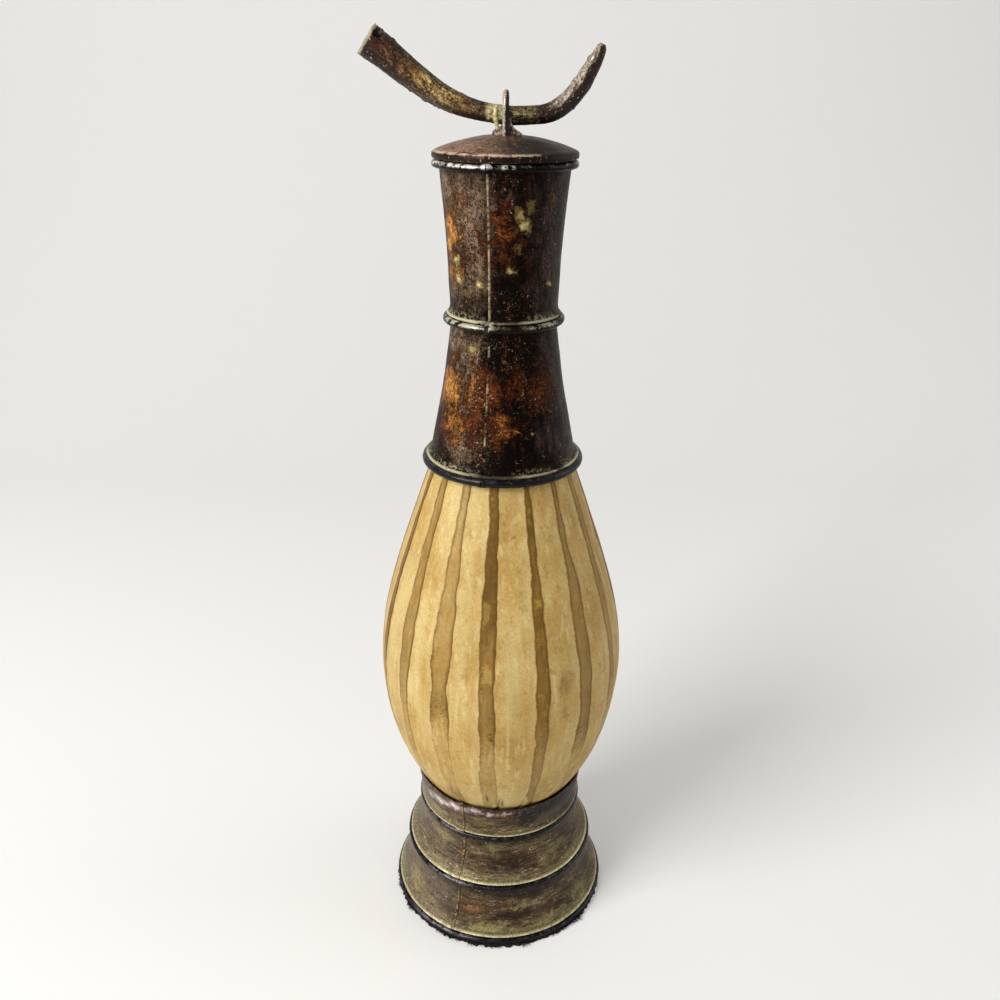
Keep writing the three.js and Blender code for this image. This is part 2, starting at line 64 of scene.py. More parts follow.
# %% Camera
SENSOR = 36.0
FOCAL_SHARE = 0.960  # focal length as a share of the picture's width
CAMERA_PLACE = (-0.0013, -0.5400, 0.5367)
CAMERA_TILT = math.radians(65.97)  # 90 degrees would look level
CAMERA_ROLL = math.radians(0.487)

camera_data = bpy.data.cameras.new("camera")
camera_data.sensor_width = SENSOR
camera_data.lens = FOCAL_SHARE * SENSOR
camera = bpy.data.objects.new("camera", camera_data)
camera.matrix_world = (
    Matrix.Translation(CAMERA_PLACE)
    @ Matrix.Rotation(CAMERA_TILT, 4, "X")
    @ Matrix.Rotation(CAMERA_ROLL, 4, "Z")
)
scene.collection.objects.link(camera)
scene.camera = camera
scene.view_settings.view_transform = "Standard"
print("lens in mm:", camera_data.lens)

# %% [markdown]
# ## Short calls for node trees
# Materials and Geometry Nodes are both node trees, and most of their nodes are arithmetic. A small class
# that adds a node and fills its inputs in one call keeps the lesson readable. A plain number is written
# into the socket, and another node's output is linked to it.

# %% Node kit
class Graph:
    """A node tree. An input takes a number, a vector, a colour or another node's output."""

    def __init__(self, tree):
        self.tree = tree
        tree.nodes.clear()

    def add(self, kind, inputs=None, **settings):
        node = self.tree.nodes.new(kind)
        for name, value in settings.items():
            setattr(node, name, value)
        for key, value in (inputs or {}).items():
            if isinstance(value, bpy.types.NodeSocket):
                self.tree.links.new(value, node.inputs[key])
            else:
                node.inputs[key].default_value = value
        return node

    def calc(self, operation, *values):
        return self.add("ShaderNodeMath", dict(enumerate(values)), operation=operation).outputs[0]

    def vector(self, operation, *values):
        node = self.add("ShaderNodeVectorMath", dict(enumerate(values)), operation=operation)
        return node.outputs[1 if operation in ("LENGTH", "DISTANCE", "DOT_PRODUCT") else 0]

    def stretch(self, where, x, y, z):
        return self.vector("MULTIPLY", where, (x, y, z))

    def scaled(self, where, amount):
        return self.add("ShaderNodeVectorMath", {0: where, "Scale": amount}, operation="SCALE").outputs[0]

    def point(self, x, y, z):
        return self.add("ShaderNodeCombineXYZ", {0: x, 1: y, 2: z}).outputs[0]

    def parts(self, vector):
        return self.add("ShaderNodeSeparateXYZ", {0: vector}).outputs[:]

    def ease(self, value, low, high, start=0.0, end=1.0):
        """Goes smoothly from start to end while the value goes from low to high."""
        inputs = {0: value, 1: low, 2: high, 3: start, 4: end}
        return self.add("ShaderNodeMapRange", inputs, interpolation_type="SMOOTHSTEP").outputs[0]

    def grain(self, where, scale, detail=3.0, rough=0.55, warp=0.0):
        """Cloudy noise about 0.5. The scale is how many clouds there are in one unit of the place."""
        inputs = {"Vector": where, "Scale": scale, "Detail": detail, "Roughness": rough, "Distortion": warp}
        return self.add("ShaderNodeTexNoise", inputs).outputs["Fac"]

    def swing(self, noise, size):
        """A noise about 0.5, turned into a value that swings about zero, at most half the size each way."""
        return self.calc("MULTIPLY_ADD", noise, size, -size / 2)

    def most(self, *values):
        """The largest of several masks."""
        largest = values[0]
        for value in values[1:]:
            largest = self.calc("MAXIMUM", largest, value)
        return largest

    def plus(self, *values):
        total = values[0]
        for value in values[1:]:
            total = self.calc("ADD", total, value)
        return total

    def minus(self, value, less):
        return self.calc("SUBTRACT", value, less)

    def times(self, *values):
        product = values[0]
        for value in values[1:]:
            product = self.calc("MULTIPLY", product, value)
        return product


print("node kit ready")

# %% [markdown]
# ## Materials as layers
# A worn finish is a stack of thin layers: ground colour, stains, dry-brushed edges, specks. Each layer here
# is a mask and a colour blended over what lies below. The masks read the object's own coordinates in
# millimetres, or attributes that the mesh carries, so the wear stays on the piece from every side.

# %% Material kit
def tone(code):
    """A colour written as #rrggbb, as the linear numbers that nodes work in."""
    shares = [int(code[i : i + 2], 16) / 255 for i in (1, 3, 5)]
    linear = [s / 12.92 if s <= 0.04045 else ((s + 0.055) / 1.055) ** 2.4 for s in shares]
    return (*linear, 1.0)


class Finish(Graph):
    """A material whose layers are blended one over the other."""

    def __init__(self, name, ground):
        self.material = bpy.data.materials.new(name)
        self.material.use_nodes = True
        super().__init__(self.material.node_tree)
        place = self.add("ShaderNodeTexCoord").outputs["Object"]
        self.place = self.stretch(place, 1 / MM, 1 / MM, 1 / MM)
        self.colour = tone(ground)

    def read(self, attribute, output="Fac"):
        return self.add("ShaderNodeAttribute", attribute_name=attribute).outputs[output]

    def normal(self):
        return self.add("ShaderNodeNewGeometry").outputs["Normal"]

    def mix(self, amount, first, second):
        inputs = {0: amount, 6: first, 7: second}
        return self.add("ShaderNodeMix", inputs, data_type="RGBA").outputs[2]

    def layer(self, mask, colour, strength=1.0):
        amount = mask if strength == 1.0 else self.times(mask, strength)
        self.colour = self.mix(amount, self.colour, tone(colour) if isinstance(colour, str) else colour)

    def gritty(self, noise, low, high):
        """Darkens and lightens what lies below with fine grain."""
        inputs = {0: 1.0, 6: self.colour, 7: self.ease(noise, 0.3, 0.7, low, high)}
        self.colour = self.add("ShaderNodeMix", inputs, data_type="RGBA", blend_type="MULTIPLY").outputs[2]

    def ramp(self, value, steps):
        """Colours that take over one after the other as a value rises from low to high."""
        for low, high, colour in steps:
            self.layer(self.ease(value, low, high), colour)

    def unrolled(self):
        """Degrees from the front and height in millimetres, for marks that have a place on a round piece."""
        x, y, z = self.parts(self.place)
        angle = self.calc("ARCTAN2", x, self.times(y, -1.0))
        return self.point(self.calc("DEGREES", angle), z, 0.0)

    def shaken(self, where, scale, degrees, height):
        """A place on a round piece, pushed about by noise, so that a mark there gets a ragged outline."""
        inputs = {"Vector": self.place, "Scale": scale, "Detail": 6.0, "Roughness": 0.68}
        cloud = self.add("ShaderNodeTexNoise", inputs).outputs["Color"]
        push = self.vector("SUBTRACT", cloud, (0.5, 0.5, 0.5))
        return self.vector("MULTIPLY_ADD", push, (degrees, height, 0.0), where)

    def marks(self, where, wander, places, core=0.6, rim=1.3):
        """Ragged patches: angle and height of the middle, width in degrees, height in mm, strength."""
        masks = []
        for angle, height, wide, tall, *strength in places:
            away = self.stretch(self.vector("SUBTRACT", where, (angle, height, 0.0)), 2 / wide, 2 / tall, 0.0)
            away = self.plus(self.vector("LENGTH", away), wander)
            masks.append(self.ease(away, rim, core, 0.0, *strength))
        return self.most(*masks)

    def specks(self, size, share, soft=0.08, warp=0.0):
        """Fine dots of that size in mm, on a share of the surface. A warp draws them out to flecks."""
        return self.ease(self.grain(self.place, 1 / size, 1.0, warp=warp), 1.0 - share, 1.0 - share + soft)

    def close(self, roughness, height=None, depth=0.2 * MM, **sockets):
        inputs = {"Base Color": self.colour, "Roughness": roughness, **sockets}
        if height is not None:
            inputs["Normal"] = self.add("ShaderNodeBump", {"Height": height, "Distance": depth}).outputs[0]
        shader = self.add("ShaderNodeBsdfPrincipled", inputs)
        self.add("ShaderNodeOutputMaterial", {"Surface": shader.outputs[0]})
        print("finish:", self.material.name, "with", len(self.tree.nodes), "nodes")
        return self.material


print("material kit ready")

# %% [markdown]
# ## Floor
# A sheet of pale paper is laid on the table and curves up behind the object, so no horizon shows. A few
# rows of faces are enough for the curve. The paper glows a little, but only for the camera, so the glow
# doesn't light the object.

# %% Paper
PAPER_HALF_WIDTH = 4.0
PAPER_FRONT = -3.0
PAPER_BACK = 1.6
PAPER_CURVE = 0.9
PAPER_HEIGHT = 3.5
PAPER_STEPS = 24
PAPER_GLOW = 0.16


def paper_sweep():
    corner = [
        (PAPER_BACK - PAPER_CURVE + PAPER_CURVE * math.sin(turn), PAPER_CURVE - PAPER_CURVE * math.cos(turn))
        for turn in (step * TURN / 4 / PAPER_STEPS for step in range(PAPER_STEPS + 1))
    ]
    line = [(PAPER_FRONT, 0.0), *corner, (PAPER_BACK, PAPER_HEIGHT)]
    points = [(side * PAPER_HALF_WIDTH, y, z) for y, z in line for side in (-1, 1)]
    faces = [(2 * i, 2 * i + 1, 2 * i + 3, 2 * i + 2) for i in range(len(line) - 1)]
    mesh = bpy.data.meshes.new("paper")
    mesh.from_pydata(points, [], faces)
    mesh.shade_smooth()
    return bpy.data.objects.new("paper", mesh)


def paper_finish():
    sheet = Finish("paper", "#e9e8e5")
    sheet.layer(sheet.grain(sheet.place, 0.4), "#eeedea")
    ray = sheet.add("ShaderNodeLightPath").outputs
    glow = {"Emission Color": tone("#ffffff")}
    glow["Emission Strength"] = sheet.times(ray["Is Camera Ray"], PAPER_GLOW)
    return sheet.close(0.9, **glow)


paper = paper_sweep()
scene.collection.objects.link(paper)
paper.data.materials.append(paper_finish())
print("paper width in metres:", 2 * PAPER_HALF_WIDTH)

# %% [markdown]
# ## Light
# One large soft lamp stands at the left and a weaker one at the right. The level is set so that a colour
# renders about as it is written. The room lights the object softly from all sides. Only the camera sees it
# paler, so that it matches the paper where a view looks past the paper's edge.

# %% Lamps and room
LAMPS = {
    # name: place, width in metres, watts
    "key_lamp": ((-1.25, -0.95, 1.25), 1.0, 32.0),
    "rim_lamp": ((1.45, 0.15, 0.85), 1.0, 5.0),
}
LAMP_AIM = Vector((0.0, 0.0, 0.28))
for name, (place, width, watts) in LAMPS.items():
    lamp_data = bpy.data.lights.new(name, "AREA")
    lamp_data.size = width
    lamp_data.energy = watts
    lamp = bpy.data.objects.new(name, lamp_data)
    lamp.location = place
    lamp.rotation_euler = (LAMP_AIM - Vector(place)).to_track_quat("-Z", "Y").to_euler()
    scene.collection.objects.link(lamp)

ROOM_LIGHT = 0.36
ROOM_SEEN = 0.68  # what the camera sees past the edges of the paper

world = bpy.data.worlds.new("soft_room")
world.use_nodes = True
room = Graph(world.node_tree)
seen = room.add("ShaderNodeLightPath").outputs["Is Camera Ray"]
strength = room.calc("MULTIPLY_ADD", seen, ROOM_SEEN - ROOM_LIGHT, ROOM_LIGHT)
walls = room.add("ShaderNodeBackground", {"Color": tone("#f3f1ee"), "Strength": strength})
room.add("ShaderNodeOutputWorld", {"Surface": walls.outputs[0]})
scene.world = world
print("lamps:", ", ".join(LAMPS))

# %% [markdown]
# ## Geometry Nodes as workshop tools
# Rolled sheets, bent wires and lapped gores each follow a rule, so each gets a Geometry Nodes tree that
# works like a tool in the shop: it takes a profile or a path and a few sizes. The class below adds to the
# node kit what these trees share: named sizes, a sheet that can be bent onto a profile, and a tube along a
# path.

# %% Shaping kit
class Shaping(Graph):
    """A Geometry Nodes tree with a path, named sizes and a material as inputs."""

    KINDS = {float: "NodeSocketFloat", int: "NodeSocketInt"}

    def __init__(self, name, **sizes):
        super().__init__(bpy.data.node_groups.new(name, "GeometryNodeTree"))
        sockets = self.tree.interface
        sockets.new_socket("Path", in_out="INPUT", socket_type="NodeSocketGeometry")
        self.keys = {}
        for label, value in sizes.items():
            socket = sockets.new_socket(label, in_out="INPUT", socket_type=self.KINDS[type(value)])
            socket.default_value = value
            self.keys[label] = (socket.identifier, type(value))
        material = sockets.new_socket("Material", in_out="INPUT", socket_type="NodeSocketMaterial")
        self.material_key = material.identifier
        sockets.new_socket("Mesh", in_out="OUTPUT", socket_type="NodeSocketGeometry")
        self.given = self.add("NodeGroupInput").outputs

    def keep(self, mesh, name, value, domain="POINT", kind="FLOAT"):
        inputs = {"Geometry": mesh, "Name": name, "Value": value}
        return self.add("GeometryNodeStoreNamedAttribute", inputs, domain=domain, data_type=kind).outputs[0]

    def read(self, name):
        return self.add("GeometryNodeInputNamedAttribute", {"Name": name}).outputs[0]

    def place(self):
        return self.add("GeometryNodeInputPosition").outputs[0]

    def path(self):
        return self.add("GeometryNodeMeshToCurve", {"Mesh": self.given["Path"]}).outputs[0]

    def grid(self, columns, rows):
        """A flat sheet of unit size. Its points know how far across and up the sheet they are."""
        inputs = {"Size X": 1.0, "Size Y": 1.0, "Vertices X": columns, "Vertices Y": rows}
        mesh = self.add("GeometryNodeMeshGrid", inputs).outputs["Mesh"]
        x, y, _ = self.parts(self.place())
        mesh = self.keep(mesh, "across", self.plus(x, 0.5))
        return self.keep(mesh, "up", self.plus(y, 0.5))

    def on_profile(self, up):
        """Radius and height of a place on the profile, and the direction that points straight out of it."""
        sample = self.add("GeometryNodeSampleCurve", {"Curves": self.path(), "Factor": up}, mode="FACTOR")
        radius, _, height = self.parts(sample.outputs["Position"])
        along_r, _, along_z = self.parts(sample.outputs["Tangent"])
        return radius, height, along_z, self.times(along_r, -1.0)

    def round_place(self, radius, angle, height):
        x = self.times(radius, self.calc("SINE", angle))
        y = self.times(radius, self.calc("COSINE", angle))
        return self.point(x, self.times(y, -1.0), height)

    def even_path(self):
        """The path with evenly spaced points, each of which knows how far along it is."""
        inputs = {"Curve": self.path(), "Count": self.given["points"]}
        curve = self.add("GeometryNodeResampleCurve", inputs).outputs[0]
        return self.keep(curve, "along", self.add("GeometryNodeSplineParameter").outputs["Factor"])

    def tube(self, curve, radius, scale):
        """A circle swept along a curve, with closed ends. The scale thickens it from place to place."""
        inputs = {"Resolution": self.given["sides"], "Radius": radius}
        circle = self.add("GeometryNodeCurvePrimitiveCircle", inputs).outputs[0]
        inputs = {"Curve": curve, "Profile Curve": circle, "Scale": scale, "Fill Caps": True}
        return self.add("GeometryNodeCurveToMesh", inputs).outputs[0]

    def move_to(self, mesh, position):
        return self.add("GeometryNodeSetPosition", {"Geometry": mesh, "Position": position}).outputs[0]

    def shift(self, mesh, offset):
        return self.add("GeometryNodeSetPosition", {"Geometry": mesh, "Offset": offset}).outputs[0]

    def weld(self, mesh, distance=0.02 * MM):
        return self.add("GeometryNodeMergeByDistance", {"Geometry": mesh, "Distance": distance}).outputs[0]

    def close(self, mesh):
        whole = self.add("GeometryNodeRealizeInstances", {"Geometry": mesh}).outputs[0]
        inputs = {"Geometry": whole, "Material": self.given["Material"]}
        painted = self.add("GeometryNodeSetMaterial", inputs).outputs[0]
        self.add("NodeGroupOutput", {0: painted})
        print("shaping:", self.tree.name, "with", len(self.tree.nodes), "nodes")
        return self


print("shaping kit ready")

# %% [markdown]
# ## From a tree to a plain mesh
# A tree works on a line of points, as a modifier of a scratch object. The evaluated result is turned into a
# plain mesh, with any sheet thickness added by Solidify, and the scratch object is thrown away. Edges
# sharper than a set angle stay sharp and the rest is shaded smooth. A finished piece is then handed to the
# frame.

# %% Shaped pieces
SHARP_ANGLE = math.radians(42)


def shaped(name, shaping, path, material, wall=None, thick=None, **sizes):
    """Runs a shaping along a path of points, and gives back the result as a plain mesh object."""
    line = bpy.data.meshes.new(name + "_path")
    line.from_pydata(path, [(i, i + 1) for i in range(len(path) - 1)], [])
    if thick:
        line.attributes.new("thick", "FLOAT", "POINT").data.foreach_set("value", thick)
    work = bpy.data.objects.new(name + "_work", line)
    scene.collection.objects.link(work)
    tool = work.modifiers.new("shaping", "NODES")
    tool.node_group = shaping.tree
    tool[shaping.material_key] = material
    for label, value in sizes.items():
        key, kind = shaping.keys[label]
        tool[key] = kind(value)
    if wall:
        sheet = work.modifiers.new("wall", "SOLIDIFY")
        sheet.thickness = wall
        sheet.offset = -1.0
        sheet.use_even_offset = True
    done = work.evaluated_get(bpy.context.evaluated_depsgraph_get())
    mesh = bpy.data.meshes.new_from_object(done)
    bpy.data.objects.remove(work)
    return plain_object(name, mesh)


def plain_object(name, mesh):
    mesh.name = name
    mesh.shade_smooth()
    mesh.set_sharp_from_angle(angle=SHARP_ANGLE)
    made = bpy.data.objects.new(name, mesh)
    scene.collection.objects.link(made)
    return made


def piece(made, body, slot, *nodes):
    """Hands a finished piece to the frame: its body and the CAD nodes it stands for. The slot is not used."""
    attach(made, body)
    if nodes:
        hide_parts(*nodes)
    faces = sum(len(p.vertices) - 2 for p in made.data.polygons)
    print(f"{made.name}: {faces} triangles on {body}")
    return made


print("edges sharper than", round(math.degrees(SHARP_ANGLE)), "degrees stay sharp")

# %% [markdown]
# ## Rolled tin
# Each tier of the foot and neck is a strip of tin rolled round until one edge lies over the other. The tree
# bends a flat grid round the axis: across becomes the angle, up follows the profile. The strip is a little
# longer than one turn, and its last part climbs over the first, so the lapped seam is real. Noise presses
# shallow dents into it and, where a size asks for it, crinkles or tears its edge.

# %% Rolled tin tool
SHEET = 0.8 * MM
SEAT = 0.3 * MM  # gap between two pieces that rest on each other
FOOT_SEAM = math.radians(-25.0)
NECK_SEAM = math.radians(-14.5)
LAP_WIDTH = 5.0 * MM
LAP_SLOPE = 2.5 * MM  # length of the climb onto the lap
LAP_TAPPED = 1.8 * MM  # the free edge is tapped down over this length
CRINKLES_PER_METRE = 190.0
RIPPLES_PER_METRE = 60.0
BITES_PER_METRE = 95.0
TEARS_PER_RADIAN = 15.0


def rolled_tin():
    sheet_sizes = {"columns": 240, "rows": 44, "seam": NECK_SEAM, "lap": 0.1, "slope": 0.05}
    dent_sizes = {"dent": 0.3 * MM, "dents_per_metre": 45.0, "ripple": 0.3 * MM, "crinkle": 0.0, "seed": 0.0}
    edge_sizes = {"climb": SHEET * 1.15, "ragged": 0.0, "fray": 0.0, "top_grip": 0.06}
    tin = Shaping("rolled_tin", **sheet_sizes, **dent_sizes, **edge_sizes)
    given = tin.given
    sheet = tin.grid(given["columns"], given["rows"])
    across = tin.read("across")
    up = tin.read("up")
    radius, height, out_r, out_z = tin.on_profile(up)

    whole = tin.plus(TURN, given["lap"])
    swept = tin.times(across, whole)
    past_seam = tin.minus(swept, given["lap"])
    angle = tin.plus(given["seam"], past_seam)
    sheet = tin.keep(sheet, "past_seam", tin.times(past_seam, radius, 1 / MM))
    sheet = tin.keep(sheet, "to_edge", tin.times(tin.minus(whole, swept), radius, 1 / MM))
    climb = tin.ease(swept, tin.minus(TURN, given["slope"]), TURN)
    tapped = tin.ease(tin.times(tin.minus(whole, swept), radius), LAP_TAPPED, 0.0, 1.0, 0.4)
    gripped = tin.ease(up, 1.0, tin.minus(1.0, given["top_grip"]))
    at_lip = tin.ease(up, 0.0, 0.06)

    bare = tin.round_place(radius, angle, height)
    spot = tin.vector("ADD", bare, tin.point(0.0, 0.0, given["seed"]))
    dented = tin.swing(tin.grain(spot, given["dents_per_metre"], 2.0), 2.0)
    dented = tin.times(dented, given["dent"], gripped, at_lip)
    crinkled = tin.swing(tin.grain(spot, CRINKLES_PER_METRE, 3.0, 0.6), 2.0)
    crinkled = tin.times(crinkled, given["crinkle"], tin.ease(up, 0.5, 0.8))
    lapped = tin.times(climb, tapped, given["climb"], gripped)
    raised = tin.plus(lapped, dented, crinkled)
    ripple = tin.swing(tin.grain(spot, RIPPLES_PER_METRE, 3.0), 2.0)
    ripple = tin.times(ripple, given["ripple"], tin.ease(up, 0.12, 0.0))
    bitten = tin.swing(tin.grain(spot, BITES_PER_METRE, 5.0, 0.7), 2.0)
    bitten = tin.times(bitten, given["ragged"], tin.ease(up, 0.8, 1.0))
    on_circle = tin.round_place(1.0, angle, given["seed"])
    torn = tin.ease(tin.grain(on_circle, TEARS_PER_RADIAN, 5.0, 0.75), 0.38, 0.72)
    half_way = tin.minus(1.0, tin.calc("ABSOLUTE", tin.calc("MULTIPLY_ADD", up, 2.0, -1.0)))
    frayed = tin.times(torn, given["fray"], tin.calc("POWER", half_way, 6.0))

    r = tin.plus(radius, frayed, tin.times(raised, out_r))
    z = tin.plus(height, tin.times(raised, out_z), ripple, bitten)
    sheet = tin.move_to(sheet, tin.round_place(r, angle, z))
    return tin.close(tin.weld(sheet))


ROLLED_TIN = rolled_tin()


def tier(name, profile, material, **sizes):
    """A rolled tier. The profile holds radius and height from the lip to the top edge."""
    girth = sum(point.x for point in profile) / len(profile)
    path = [(point.x, 0.0, point.y) for point in profile]
    sizes = {"lap": LAP_WIDTH / girth, "slope": LAP_SLOPE / girth, **sizes}
    return shaped(name, ROLLED_TIN, path, material, wall=SHEET, **sizes)

# %% [markdown]
# ## Profiles and rings
# A profile is a list of points, each with a radius and a height, so two-part vectors do the arithmetic.
# Round stretches are curves with control points. The CAD rings carry the tiers, so their sizes are measured
# on the frame and every lip and grip is worked out from them.

# %% Profiles and rings
def at(radius, height):
    return Vector((radius, height))


def arc_to(start, control, end, steps=16):
    """A curve with one control point, as a list of points."""
    first = start + (control - start) * 2 / 3
    last = end + (control - end) * 2 / 3
    return interpolate_bezier(start, first, last, end, steps)


def through(points, steps=12):
    """A smooth line through all the points."""
    line = []
    padded = [2 * points[0] - points[1], *points, 2 * points[-1] - points[-2]]
    for a, b, c, d in zip(padded, padded[1:], padded[2:], padded[3:]):
        first = b + (c - a) / 6
        last = c - (d - b) / 6
        line += interpolate_bezier(b, first, last, c, steps + 1)[:-1]
    return [*line, points[-1]]


def ring_size(node):
    """Radius, height and wire radius of a ring in the CAD model."""
    low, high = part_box(node)
    wire = (high.z - low.z) / 2
    reach = max(math.hypot(v.co.x, v.co.y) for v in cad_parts[node].data.vertices)
    return reach - wire, (low.z + high.z) / 2, wire


RINGS = {name: ring_size(name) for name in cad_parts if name.endswith("_ring")}
for name, size in RINGS.items():
    print(name, "radius, height and wire in mm:", [round(value / MM, 1) for value in size])


def lip_on(ring):
    """Upper side of a lip that lies on its ring."""
    radius, height, wire = RINGS[ring]
    return at(radius, height + wire + SEAT + SHEET)


def grip_in(ring):
    """The straight end of a tier inside the ring that grips it."""
    radius, height, wire = RINGS[ring]
    inside = radius - wire - SEAT
    return [at(inside, height - wire - SEAT), at(inside, height + wire)]

# %% [markdown]
# ## Bent wire
# Each ring is a length of wire bent round until its ends meet. A curve swept with a circle makes it. The
# tree pushes the curve about by a fraction of a millimetre and thickens it a little at its two ends, where
# it was soldered, because a perfect torus would look machine-made.

# %% Bent wire tool
JOINT_GAP = 0.4 * MM
WOBBLES_PER_METRE = 55.0
LUMPS_PER_METRE = 160.0


def bent_wire():
    path_sizes = {"points": 200, "wobble": 0.25 * MM, "seed": 0.0}
    wire_sizes = {"sides": 14, "wire": 1.7 * MM, "lumps": 0.06, "beads": 0.16}
    bent = Shaping("bent_wire", **path_sizes, **wire_sizes)
    given = bent.given
    curve = bent.even_path()
    along = bent.read("along")
    spot = bent.vector("ADD", bent.place(), bent.point(given["seed"], 0.0, 0.0))
    inputs = {"Vector": spot, "Scale": WOBBLES_PER_METRE, "Detail": 2.0}
    pushed = bent.add("ShaderNodeTexNoise", inputs).outputs["Color"]
    pushed = bent.vector("SUBTRACT", pushed, (0.5, 0.5, 0.5))
    curve = bent.shift(curve, bent.scaled(pushed, given["wobble"]))

    to_end = bent.calc("MINIMUM", along, bent.minus(1.0, along))
    bead = bent.times(bent.ease(to_end, 0.012, 0.004), given["beads"])
    lump = bent.times(bent.swing(bent.grain(spot, LUMPS_PER_METRE, 2.0), 2.0), given["lumps"])
    return bent.close(bent.tube(curve, given["wire"], bent.plus(1.0, bead, lump)))


BENT_WIRE = bent_wire()


def round_path(radius, height, start=0.0, sweep=TURN, steps=120):
    """Points on a circle about the axis."""
    turns = [start + step / steps * sweep for step in range(steps + 1)]
    return [(radius * math.sin(turn), -radius * math.cos(turn), height) for turn in turns]


def ring(name, material, joint, **sizes):
    radius, height, wire = RINGS[name]
    gap = JOINT_GAP / radius
    path = round_path(radius, height, joint + gap / 2, TURN - gap)
    return shaped(name + "_wire", BENT_WIRE, path, material, wire=wire, **sizes)
